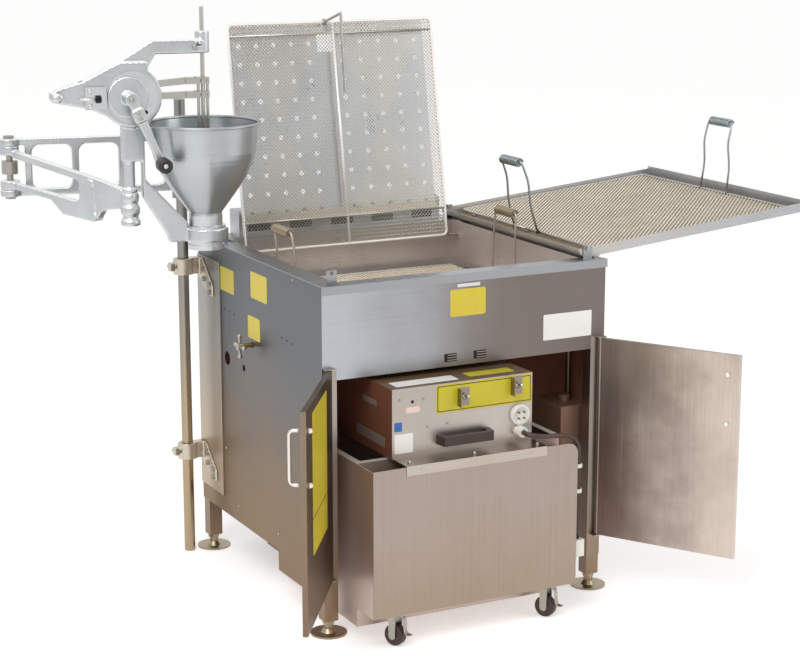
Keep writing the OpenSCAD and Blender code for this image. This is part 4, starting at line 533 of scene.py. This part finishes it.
for door, hinge_x, out_x, out_y in DOORS:
    stem = at(hinge_x, HINGE_Y, 0) + PULL_X * MM * out_x
    low, high = [stem + MM * (z * upright - DOOR_FACE * out_y) for z in PULL_ENDS]
    away = -PULL_OUT * MM * out_y
    rod = sweep(eased([low, low + away, high + away, high], PULL_BEND, 8), PULL_ROD, out_x, 14)
    nuts = turned([stem + MM * (z * upright + DOOR_FACE * out_y) for z in PULL_ENDS], out_y, NUT, 16)
    build(f"{door}_pull", *rod, pull_steel, door, "stainless", (f"{door}_handle",))
    build(f"{door}_pull_nuts", *nuts, nut_steel, door, "stainless")

# Wire nets: crimped steel wire woven square and laid at 45 degrees, clipped in frames of bent rod.
# The upright net is a plain weave at about 7 mm. The two level ones are about 10 mm, with one set of wires on
# the other. They are seen nearly edge on, so their wire is drawn a little thick and still shows. Their lower
# set is darker, partly with oil and partly as painted shade for the upper set's shadow.
UPRIGHT_WEAVE, UPRIGHT_WIRE = 7.2 * MM, 2.0 * MM
LEVEL_WEAVE, LEVEL_WIRE, LEVEL_LAID = 10.3 * MM, 3.2 * MM, 0.9


def woven(width, depth, weave, wire, laid=0.0):
    """A diagonal weave over a rectangle, about the z zero plane: each wire runs from crossing to crossing as
    square prisms, above one and below the next. Laid is the share by which one set of wires lies on the
    other instead. Returns the lower set and the upper set, each as points and faces."""
    step = weave * math.sqrt(2.0)
    count = int((width + depth) / step) + 2
    i, k = np.meshgrid(np.arange(-count, count), np.arange(0, count), indexing="ij")
    x, y = (k + i) * step / 2.0, (k - i) * step / 2.0
    inside = (x >= 0) & (x <= width) & (y >= 0) & (y <= depth)
    over = np.where((i + k) % 2 == 0, 0.5, -0.5) * wire * (1.0 - laid)
    spots = np.stack([x, y, over], -1)
    sets = []
    for axis, sign in ((0, 1.0), (1, -1.0)):
        a = spots * [1, 1, sign] - [0, 0, sign * 0.5 * laid * wire]
        first = np.take(a, np.arange(a.shape[axis] - 1), axis)
        last = np.take(a, np.arange(1, a.shape[axis]), axis)
        use = np.take(inside, np.arange(a.shape[axis] - 1), axis)
        use = use & np.take(inside, np.arange(1, a.shape[axis]), axis)
        first, last = first[use], last[use]
        way = unit(last - first)
        side = unit(np.cross(way, [0, 0, 1.0]))
        lift = np.cross(side, way)
        ring = np.stack([side, lift, -side, -lift], 1) * wire / 2.0
        prism = np.concatenate([first[:, None] + ring, last[:, None] + ring], 1)
        base = 8 * np.arange(len(prism))[:, None, None]
        quads = np.array([[0, 4, 5, 1], [1, 5, 6, 2], [2, 6, 7, 3], [3, 7, 4, 0]])
        sets.append((prism.reshape(-1, 3), (base + quads).reshape(-1, 4)))
    return sets


ROD = 4.0 * MM
FRAME_BEND = 16.0 * MM


def frame_rods(width, depth):
    """A rectangle of rod with round corners, closed on itself, in the x and y plane."""
    middle = (0, depth / 2, 0)
    loop = [middle, (0, 0, 0), (width, 0, 0), (width, depth, 0), (0, depth, 0), middle]
    return sweep(eased(loop, FRAME_BEND), ROD, (0, 0, 1))


# Submerger: a net in a rod frame on two pivot pins, with two perforated plates behind it that press donuts
# down. It leans back against its hooks, and a rod hangs from its top bar to pull it down by.
LEAN = math.radians(10.0)
SUB_X = 95.0
sub_origin = at(SUB_X, 700.0, 877.0)
sub_up = np.array([0.0, math.sin(LEAN), math.cos(LEAN)])
SUB_W, SUB_LEN = 0.638, 0.632
MID_ROD = 0.504 * SUB_W
CROSS_RODS = (0.080, 0.600)
net_steel = plated("woven_steel_wire", "#c3bfb7", 0.3, 0.004, 0.1)
frame_steel = plated("bright_tinned_rod", "#f1eee8", 0.32, 0.003, 0.05, 0.35)
mid_rod = sweep([(MID_ROD, 0, 0), (MID_ROD, 0.3, 0), (MID_ROD, SUB_LEN, 0)], ROD, (0, 0, 1))
points, faces = placed(together(frame_rods(SUB_W, SUB_LEN), mid_rod), sub_origin, right, sub_up)
build("submerger_rods", points, faces, frame_steel, "submerger", "stainless", ("submerger_screen",))
rows = [sweep([(0, z, 0), (SUB_W / 2, z, 0), (SUB_W, z, 0)], ROD * 0.8, (0, 0, 1)) for z in CROSS_RODS]
points, faces = placed(together(*rows), sub_origin, right, sub_up)
build("submerger_cross_rods", points, faces, net_steel, "submerger", "stainless")
net = together(*woven(SUB_W, SUB_LEN, UPRIGHT_WEAVE, UPRIGHT_WIRE))
points, faces = placed(net, sub_origin, right, sub_up)
build("submerger_net", points, faces, net_steel, "submerger", "stainless", smooth=False)


PLATE_MIDS = (SUB_X + 0.224 * SUB_W / MM, SUB_X + 0.7385 * SUB_W / MM)
PLATE_HALF_WIDE, PLATE_HALF_HIGH, PLATE_MID_HIGH = 0.140, 0.256, 1.212
LIP_TOP = 0.978


def creased_steel(name, flank, field, lip):
    """Thin sheet with a cross break, whose shading is painted: the two flanks of each plate are tinted bluer
    than the top and bottom fields, as painted shade of the folds. A point is on a flank where its share of
    the half width beats that of the half height.
    The lip below them is cream and dull with old oil."""
    material, tree, shader = finish(name, 1.0, 0.36)
    place = add(tree, "TexCoord").outputs["Object"]
    axes = add(tree, "SeparateXYZ", {0: place})
    centres = [float(at(x, 0, 0)[0]) for x in PLATE_MIDS]
    far = [add(tree, "Math", {0: axes.outputs[0], 1: c}, operation="SUBTRACT") for c in centres]
    far = [add(tree, "Math", {0: f.outputs[0]}, operation="ABSOLUTE") for f in far]
    near = add(tree, "Math", {0: far[0].outputs[0], 1: far[1].outputs[0]}, operation="MINIMUM")
    rise = add(tree, "Math", {0: axes.outputs[2], 1: PLATE_MID_HIGH}, operation="SUBTRACT")
    rise = add(tree, "Math", {0: rise.outputs[0]}, operation="ABSOLUTE")
    rise = add(tree, "Math", {0: rise.outputs[0], 1: PLATE_HALF_WIDE / PLATE_HALF_HIGH},
               operation="MULTIPLY")
    lead_by = add(tree, "Math", {0: near.outputs[0], 1: rise.outputs[0]}, operation="SUBTRACT")
    which = add(tree, "MapRange", {"Value": lead_by.outputs[0], "From Min": -4.0 * MM,
                                   "From Max": 4.0 * MM})
    clouds = add(tree, "TexNoise", {"Vector": place, "Scale": 5.0, "Detail": 4.0})
    soft = add(tree, "Math", {0: which.outputs[0], 1: clouds.outputs[0]}, operation="MULTIPLY")
    # The bluer flank tint is painted shade of the cross break's folds.
    tint = add(tree, "Mix", {0: soft.outputs[0], 6: linear(field), 7: linear(flank)}, data_type="RGBA")
    below = add(tree, "Math", {0: axes.outputs[2], 1: LIP_TOP}, operation="LESS_THAN")
    tint = add(tree, "Mix", {0: below.outputs[0], 6: tint.outputs[2], 7: linear(lip)}, data_type="RGBA")
    tree.links.new(tint.outputs[2], shader.inputs["Base Color"])
    dull = add(tree, "MapRange", {"Value": below.outputs[0], "To Min": 1.0, "To Max": 0.1})
    tree.links.new(dull.outputs[0], shader.inputs["Metallic"])
    gloss = add(tree, "MapRange", {"Value": clouds.outputs[0], "To Min": 0.28, "To Max": 0.44})
    tree.links.new(gloss.outputs[0], shader.inputs["Roughness"])
    return material


crease_shaded_plate_steel = creased_steel("cross_broken_sheet_painted_shade", "#d7e0eb", "#e6e5e2", "#fbf1de")
dress(crease_shaded_plate_steel, "submerger_plates")
STRIP_IN, STRIP_UP, STRIP_BEHIND = 8.932, 600.5, 18.7
sub_back = np.cross(sub_up, right)
strip_at = sub_origin + MM * (STRIP_IN * right + STRIP_UP * sub_up + STRIP_BEHIND * sub_back)
points, faces = placed(plate(608, 28, 1, 1.4), strip_at, right, sub_up)
build("submerger_top_strip", points, faces, crease_shaded_plate_steel, "submerger", "stainless", smooth=False)

# Drain tray: a folded sheet tray with a round gutter that pours back into the kettle, pivoted on two tabs.
# Its floor is tan with oil. The drain screen lies in it on three runners and lifts out by two bails.
tray_steel = sanded_steel("sanded_tray_steel", "#bdbab6", "#b2b4b7", ACROSS, 0.2, 1.0, 0, 0.34,
                          facing=[(2, 1, "#b0a18a")], metal=0.6)
dress(tray_steel, "drain_tray")
TILT = math.radians(5.5)
PIVOT = at(790.0, 0.0, 941.0)
tray_x = np.array([math.cos(TILT), 0.0, math.sin(TILT)])
tray_z = np.array([-math.sin(TILT), 0.0, math.cos(TILT)])


BAIL_HALF, BAIL_HIGH = 64.0, 205.0
BAIL_WIRE, BAIL_BEND = 3.0 * MM, 20.0 * MM
EYE_R, EYE_WIRE = 5.8 * MM, 1.7 * MM


def bail(lean, y_mid):
    """A lifting bail about the end rod's axis: kinked legs, a top bar, and eyes bent round the rod."""
    legs = np.array([(0.0, BAIL_HALF, 0.0), (0.45 * lean, 61.0, 73.8), (0.46 * lean, 58.3, 145.6),
                     (lean, 56.0, BAIL_HIGH)])
    side = legs * [1, -1, 1]
    path = eased(np.concatenate([side, legs[::-1]]) * MM + [0, y_mid, 0], BAIL_BEND)
    turn = np.linspace(0, 2 * math.pi, 25)
    ring = np.stack([EYE_R * np.sin(turn), np.full(25, y_mid), EYE_R * np.cos(turn)], -1)
    eyes = [sweep(ring + [0, s * BAIL_HALF * MM, 0], EYE_WIRE, (0, 1, 0), 8) for s in (-1, 1)]
    return together(sweep(path, BAIL_WIRE, (1, 0, 0)), *eyes)


COIL_TURNS, COIL_PITCH, COIL_R, COIL_WIRE = 12, 8.0 * MM, 11.0 * MM, 4.2 * MM
COIL_DROP = COIL_R - COIL_WIRE / 2 - BAIL_WIRE - 0.3 * MM


def coil(x, y, z):
    """A close helix along y that hangs on a bail's top bar at a point: wire of one size, ends cut square."""
    t = np.linspace(0, 2 * math.pi * COIL_TURNS, COIL_TURNS * 24 + 1)
    path = np.stack([x + COIL_R * np.cos(t), y + COIL_PITCH * (t / (2 * math.pi) - COIL_TURNS / 2),
                     z - COIL_DROP + COIL_R * np.sin(t)], -1)
    return sweep(path, COIL_WIRE / 2, (0, 1, 0), 8)


spring_steel = plated("oiled_spring_steel", "#9ea5a7", 0.26, 0.003, 0.1)
bail_steel = plated("oiled_bail_rod", "#9da1a3", 0.28, 0.003, 0.1)
DRAIN_W, DRAIN_D = 0.647, 0.744
DRAIN_X, DRAIN_Y, DRAIN_Z = 0.038, 0.040, -12.2 * MM
DRAIN_LEANS = (-32.0, 40.0)
RUNNER_IN, RUNNER_PAST, RUNNER_Z = 0.070, 0.002, -0.007
drain_origin = PIVOT + DRAIN_X * tray_x + DRAIN_Y * back + DRAIN_Z * tray_z
runner_x = (-RUNNER_PAST, 0.3, DRAIN_W + RUNNER_PAST)
runners = [sweep([(x, y, RUNNER_Z) for x in runner_x], ROD, (0, 0, 1))
           for y in (RUNNER_IN, DRAIN_D / 2, DRAIN_D - RUNNER_IN)]
points, faces = placed(together(frame_rods(DRAIN_W, DRAIN_D), *runners), drain_origin, tray_x, back)
build("drain_screen_rods", points, faces, rod_steel, "drain_rack", "stainless", ("drain_screen",))
under, upper = woven(DRAIN_W, DRAIN_D, LEVEL_WEAVE, LEVEL_WIRE, LEVEL_LAID)
drain_net = plated("oiled_woven_wire", "#faf4e8", 0.36, 0.004, 0.12, 0.4)
# The lower wires' darker colour is partly oil and partly painted shade under the upper wires.
drain_under_oil_and_shade = plated("oil_and_painted_shade_wire", "#b4a793", 0.4, 0.004, 0.12, 0.4)
for name, wires, steel in (("net", upper, drain_net), ("cross_wires", under, drain_under_oil_and_shade)):
    points, faces = placed(wires, drain_origin, tray_x, back)
    build(f"drain_screen_{name}", points, faces, steel, "drain_rack", "stainless", smooth=False)


def end_bails(leans, width, y_mid, origin, x_way):
    """The two bails and the two coil grips of a screen, each leaning its own way from its end rod."""
    ends = [origin, origin + width * np.asarray(x_way)]
    wires = [placed(bail(lean, y_mid), end, x_way, back) for lean, end in zip(leans, ends)]
    grips = [placed(coil(lean * MM, y_mid, BAIL_HIGH * MM), end, x_way, back)
             for lean, end in zip(leans, ends)]
    return together(*wires), together(*grips)


wires, grips = end_bails(DRAIN_LEANS, DRAIN_W, DRAIN_D / 2, drain_origin, tray_x)
build("drain_bails", *wires, bail_steel, "drain_rack", "stainless", ("drain_screen_bails",))
build("drain_grips", *grips, spring_steel, "drain_rack", "zinc_plate", ("drain_screen_grips",))

# Frying screen: the same build, lying on the heat tubes in the oil and browned by it.
# Its bails stand up out of the kettle at both ends.
FRY_W, FRY_D = 0.656, 0.608
FRY_MID = 0.312
FRY_LEANS = (-18.0, 8.0)
fry_origin = at(87.0, 78.0, 790.0)
points, faces = placed(frame_rods(FRY_W, FRY_D), fry_origin, right, back)
build("frying_screen_rods", points, faces, rod_steel, "frying_rack", "stainless", ("frying_screen",))
under, upper = woven(FRY_W, FRY_D, LEVEL_WEAVE, LEVEL_WIRE, LEVEL_LAID)
fry_net = plated("oil_browned_wire", "#fff5e4", 0.36, 0.004, 0.14, 0.1)
# The lower wires' darker colour is partly oil and partly painted shade under the upper wires.
fry_under_oil_and_shade = plated("oil_soaked_painted_shade_wire", "#f3e4cb", 0.4, 0.004, 0.14, 0.1)
for name, wires, steel in (("net", upper, fry_net), ("cross_wires", under, fry_under_oil_and_shade)):
    points, faces = placed(wires, fry_origin, right, back)
    build(f"frying_screen_{name}", points, faces, steel, "frying_rack", "stainless", smooth=False)
browned_rod = plated("oil_browned_rod", "#b3a898", 0.32, 0.003, 0.12, 0.6)
browned_coil = plated("oil_browned_coil", "#a4977f", 0.34, 0.003, 0.12, 0.7)
wires, grips = end_bails(FRY_LEANS, FRY_W, FRY_MID, fry_origin, right)
build("frying_bails", *wires, browned_rod, "frying_rack", "stainless", ("frying_screen_bails",))
build("frying_grips", *grips, browned_coil, "frying_rack", "zinc_plate", ("frying_screen_grips",))

# Filter cart: a welded stainless tank on casters with a folded front panel, carrying the pump's control box.
# The front panel's grain runs upright and is browned toward the floor. The box's left side is painted dark, a
# painted reflection of the dark bay, and its top is darker too.
cart_steel = sanded_steel("sanded_cart_steel", "#9d8c7d", "#9f9189", UP, 0.05, 0.45, 2, 0.33, 0.1)
dress(cart_steel, "cart_front_panel")
dress(sanded_steel("sanded_lip_steel", "#b3a79c", "#b6aca3", UP, 0.4, 0.5, 0, 0.32, 0.06), "box_base_plate")
# Faces that look up, such as the tank's rim, get #dcd6d0: a painted highlight.
tank_steel = sanded_steel("oiled_tank_steel_painted_top_highlight", "#c6b2a8", "#b39a90", UP, 0.1, 0.4, 1, 0.38,
                          facing=[(2, 1, "#dcd6d0")], metal=0.5)
dress(tank_steel, "cart_tank", "filter_unit")
# 7c4f3f on the left side is a painted reflection of the dark bay; #6b563f makes the top darker.
box_steel = sanded_steel("brushed_box_steel_painted_shade", "#bab2ab", "#aca49d", UP, 0.45, 0.65, 0, 0.34, 0.08,
                         facing=[(0, -1, "#7c4f3f"), (2, 1, "#6b563f")])
dress(box_steel, "control_box")
dark_plastic = moulded("dark_moulded_plastic", "#231d1c", 0.36)
handle_plastic = moulded("brown_moulded_plastic", "#2c1b15", 0.3)
white_plastic = moulded("white_moulded_plastic", "#e6e3da", 0.35)
wheel_plastic = moulded("brown_wheel_plastic", "#3d2a22", 0.45)
dress(handle_plastic, "box_handle")
dress(white_plastic, "cable_fittings")
dress(zinc, "caster_fork_left", "caster_fork_right")
dress(plated("brown_plated_guard", "#8d837a", 0.34), "switch_guards")
dress(wheel_plastic, "wheel_front_left", "wheel_front_right", "rear_wheels")
dress(bright, "switch_left", "switch_right")

# Plates and fasteners of the control box: a yellow panel with a dark line round it, bare film plates,
# brass pins in the white socket and small screws.
BOX_FRONT, BOX_TOP, BOX_LEFT = -100.0, 659, 143
LIP_FRONT = -165
SOCKET_X, SOCKET_FACE, SOCKET_Z, PIN_RING = 510, -109, 552, 11
black_ink = moulded("black_printed_line", "#2a2618", 0.4, 0.004, 0.04)
panel = [placed(plate(280 - 2 * i, 74 - 2 * i, 3, t), at(267 + i, BOX_FRONT, 582 + i), right, upright)
         for i, t in ((0, 0.5), (3.5, 0.8), (5.5, 1.1))]
box_yellow = moulded("yellow_panel_film", "#c1b31f", 0.34, 0.004, 0.05)
top_yellow = placed(plate(132, 40, 2, 0.5), at(382, -68, BOX_TOP), right, back)
points, faces = together(panel[0], panel[2], top_yellow)
build("box_yellow_film", points, faces, box_yellow, "cart", "white_plastic", smooth=False)
build("box_panel_line", *panel[1], black_ink, "cart", "dark_plastic", smooth=False)
points, faces = together(placed(plate(52, 50, 2, 0.5), at(150, BOX_FRONT, 492), right, upright),
                         placed(plate(178, 46, 2, 0.5), at(166, -80, BOX_TOP), right, back))
build("box_white_film", points, faces, white_film, "cart", "white_plastic", smooth=False)
blue_film = moulded("blue_printed_film", "#2f5fa6", 0.36, 0.004, 0.05)
pale_film = moulded("pale_pink_film", "#e3c9bb", 0.4, 0.004, 0.05)
for name, shape, x, z, film in (("blue", plate(22, 24, 2, 0.5), 149, 549, blue_film),
                                ("pale", plate(40, 15, 4, 0.5), 181, 594, pale_film)):
    points, faces = placed(shape, at(x, BOX_FRONT, z), right, upright)
    build(f"box_{name}_film", points, faces, film, "cart", "white_plastic", smooth=False)
side_film = moulded("grey_side_film", "#7d706a", 0.5, 0.004, 0.05)
side_marks = [placed(plate(w, h, 2, 0.5), at(BOX_LEFT, y, z), -back, upright)
              for y, z, w, h in ((100, 501, 160, 26), (62, 597, 75, 14))]
build("box_side_film", *together(*side_marks), side_film, "cart", "dark_plastic", smooth=False)
SCREW = [(3.6, 0), (3.4, 1.4), (2.6, 2.0), (0.8, 2.2)]
box_screws = [at(x, BOX_FRONT, z) for x, z in ((299, 556), (242, 553), (232, 626), (165, 630), (283, 519))]
box_screws += [at(x, LIP_FRONT, 466) for x in (190, 345, 505)]
points, faces = turned(box_screws, -back, SCREW)
build("box_screws", points, faces, zinc, "cart", "zinc_plate")
# A dark disc of painted shade stands for a hole in the box.
points, faces = turned([at(200, BOX_FRONT, 622)], -back, [(4.5, 0), (4.5, 0.3)])
build("box_hole", points, faces, painted_shade_dark, "cart", "dark_plastic", smooth=False)
pins = [at(SOCKET_X + PIN_RING * math.cos(a), SOCKET_FACE, SOCKET_Z + PIN_RING * math.sin(a))
        for a in np.radians([45, 135, 225, 315])]
points, faces = turned(pins, -back, [(2.6, 0), (2.6, 7.0), (1.6, 8.5)], 10)
build("socket_pins", points, faces, brass, "cart", "brass_fitting")
SOCKET_EDGE = [(24, 0), (23, 2.2), (21, 2.2), (20, 0.4)]
points, faces = turned([at(SOCKET_X, SOCKET_FACE, SOCKET_Z)], -back, SOCKET_EDGE, 40)
build("socket_ring", points, faces, white_plastic, "cart", "white_plastic")


# Caster brakes: a sprung strip from under each fork's top, bent down behind the wheel and out as a pedal.
# The pedal is lower than the tank's floor, so that it passes under it when the caster swivels.
def strip(path, across, width, thick):
    """A flat bar along a path: four corners at each point, half the width along one way and half the
    thickness square to the path, with closed ends."""
    path, across = np.asarray(path, float), unit(np.asarray(across, float))
    over = unit(np.cross(unit(np.gradient(path, axis=0)), across))
    corners = [(-1, -1), (1, -1), (1, 1), (-1, 1)]
    ring = np.stack([a * width / 2 * across + b * thick / 2 * over for a, b in corners], 1)
    points = (path[:, None] + ring).reshape(-1, 3)
    last = 4 * len(path) - 4
    return points, walls(len(path), 4).tolist() + [[3, 2, 1, 0], [last, last + 1, last + 2, last + 3]]


BRAKE = [(30, 81), (36, 81), (40, 75), (41.5, 62), (42.5, 50), (43.5, 42), (47, 36), (54, 34.5), (61, 36)]
BRAKE_WIDE, BRAKE_THICK = 14 * MM, 2.2 * MM
CASTER_Y = -118
brake_path = eased(BRAKE, 6.0)
for name, x, turn in (("left", 132, -62.0), ("right", 576, -58.0)):
    ahead = np.array([math.cos(math.radians(turn)), math.sin(math.radians(turn)), 0.0])
    spots = at(x, CASTER_Y, 0) + MM * (brake_path[:, :1] * ahead + brake_path[:, 1:] * upright)
    points, faces = strip(spots, np.cross(ahead, upright), BRAKE_WIDE, BRAKE_THICK)
    build(f"{name}_brake_pedal", points, faces, zinc, f"{name}_caster", "zinc_plate", smooth=False)

# Swing arm and depositor: sand-cast aluminium, fettled and polished, so every edge is soft.
# The castings are remade from their solids with rounded edges.
# The near-white #f4f5f5 on the castings' up-facing faces is a painted highlight.
cast = plated("polished_cast_aluminium", "#c0c4c5", 0.32, 0.0025, 0.14, 1.0, "#f4f5f5")
clamp_cast = plated("oiled_cast_aluminium", "#c4bbad", 0.34, 0.0025, 0.12)


def softened(name, node, body, voxel, passes, material):
    """A casting's solid with its sharp edges eased: one even skin of small squares, then smoothed."""
    mesh = nodes[node].data.copy()
    work = bmesh.new()
    work.from_mesh(mesh)
    bmesh.ops.remove_doubles(work, verts=work.verts, dist=0.01 * MM)
    work.to_mesh(mesh)
    work.free()
    obj = bpy.data.objects.new(name, mesh)
    bpy.context.scene.collection.objects.link(obj)
    remesh = obj.modifiers.new("skin", "REMESH")
    remesh.mode = "VOXEL"
    remesh.voxel_size = voxel
    ease = obj.modifiers.new("ease", "SMOOTH")
    ease.factor = 0.5
    ease.iterations = passes
    done = bpy.data.meshes.new_from_object(obj.evaluated_get(bpy.context.evaluated_depsgraph_get()))
    obj.modifiers.clear()
    obj.data = done
    done.name = name
    done.polygons.foreach_set("use_smooth", np.ones(len(done.polygons), bool))
    done.materials.clear()
    done.materials.append(material)
    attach(obj, body)
    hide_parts(node)


softened("inner_link_casting", "inner_swing_link", "inner_link", 0.0024, 4, cast)
softened("outer_link_casting", "outer_swing_link", "outer_link", 0.0022, 4, cast)
softened("depositor_casting", "depositor_frame", "depositor", 0.0026, 4, cast)
softened("crank_casting", "crank_handle", "crank", 0.0018, 3, cast)
softened("clamp_castings", "pole_clamps", "cabinet", 0.0022, 3, clamp_cast)
dress(zinc, "elbow_pin")
dress(dark_plastic, "crank_knob")
spun = plated("turned_aluminium", "#cbcecf", 0.3, 0.003, 0.08)
dress(spun, "forming_cylinder", "cover_plate")
dress(plated("ground_steel_lever", "#b5b3ad", 0.26, 0.003, 0.08), "rocker_levers", "plunger")


# Hopper: spun over a form from one aluminium disc, and set in the depositor's neck.
# Its wall keeps fine rings from the tool, and so it shines in upright bands.
def spun_wall(name, colour):
    """Spun sheet: rings 2 mm apart up the wall, and a gloss that is stretched round the axis."""
    material, tree, shader = finish(name, 1.0, 0.34)
    shader.inputs["Anisotropic"].default_value = 0.75
    shader.inputs["Anisotropic Rotation"].default_value = 0.25
    place = add(tree, "TexCoord").outputs["Object"]
    rings = add(tree, "Mapping", {"Vector": place, "Scale": (6.0, 6.0, 500.0)})
    line = add(tree, "TexNoise", {"Vector": rings.outputs[0], "Scale": 1.0, "Detail": 2.0})
    tone = add(tree, "MapRange", {"Value": line.outputs[0], "From Min": 0.3, "From Max": 0.7,
                                  "To Min": 0.95, "To Max": 1.04})
    toned(tree, shader, linear(colour), tone)
    round_axis = add(tree, "Tangent", direction_type="RADIAL", axis="Z")
    tree.links.new(round_axis.outputs[0], shader.inputs["Tangent"])
    bump = add(tree, "Bump", {"Height": line.outputs[0], "Strength": 0.2, "Distance": 0.0003})
    tree.links.new(bump.outputs[0], shader.inputs["Normal"])
    return material


dress(spun_wall("spun_hopper_aluminium", "#b0b4b7"), "hopper")

# Depositor fasteners: the adjusting stud with its dark nut, the cover block's screws, the crank's clamp bolts
# and the pinch bolt of the plunger guide, all seated on their castings' front faces.
HEAD_X, HEAD_Y = -316.524, 486.109
HEAD_TURN = math.radians(-10.0)
head_u = np.array([math.cos(HEAD_TURN), math.sin(HEAD_TURN), 0.0])
head_v = np.array([-math.sin(HEAD_TURN), math.cos(HEAD_TURN), 0.0])


def head(u, v, z):
    """A place on the depositor: millimetres along its plate, behind its middle plane, and up."""
    return at(HEAD_X, HEAD_Y, z) + MM * (u * head_u + v * head_v)


BOLT = [(7.5, 0), (7.5, 4.4), (6.2, 5.4), (1.0, 5.4)]
BLOCK_SCREW = [(5.6, 0), (5.4, 2.4), (4.2, 3.2), (0.8, 3.4)]
STUD_V, STUD_Z = -38.6, 1352
stud = turned([head(-127, STUD_V, STUD_Z)], head_u, [(3.2, 0), (3.2, 44.0), (2.2, 45.0)])
block_screws = turned([head(-99, -35, z) for z in (1374, 1334)], -head_v, BLOCK_SCREW)
build("block_fasteners", *together(stud, block_screws), bright, "depositor", "zinc_plate")
dark_nut = plated("blackened_steel_nut", "#2e2b33", 0.4)
HEX_NUT = [(9.5, 0), (9.5, 13.0), (8.0, 14.0), (4.0, 14.0)]
points, faces = turned([head(-86, STUD_V, STUD_Z)], head_u, HEX_NUT, 6)
build("adjusting_nut", points, faces, dark_nut, "depositor", "zinc_plate", smooth=False)
build("guide_bolt", *turned([head(176, -16, 1476)], -head_v, BOLT, 18), zinc, "depositor", "zinc_plate")
ARM_LEAN = math.radians(-66.1342)
arm_way = math.cos(ARM_LEAN) * head_u + math.sin(ARM_LEAN) * upright
arm_side = np.cross(arm_way, head_v)
CRANK_U, CRANK_Z = -4, 1354
CLAMP_SCREW = [(5.0, 0), (4.8, 3.0), (3.8, 4.0), (0.8, 4.0)]
SET_SCREW = [(5, 0), (5, 6), (4, 7), (1, 7)]
block_mid = head(CRANK_U, -95.5, CRANK_Z) + 43.3 * MM * arm_way
clamp_screws = [block_mid + MM * (-12 * head_v + s * 8 * arm_way) for s in (-1, 1)]
clamp_bolts = [turned([head(CRANK_U, -101.5, CRANK_Z)], -head_v, BOLT, 6),
               turned(clamp_screws, -head_v, CLAMP_SCREW)]
build("crank_bolts", *together(*clamp_bolts), zinc, "crank", "zinc_plate")
points, faces = turned([block_mid + 16 * MM * arm_side], arm_side, SET_SCREW, 6)
build("crank_set_screw", points, faces, dark_nut, "crank", "zinc_plate", smooth=False)
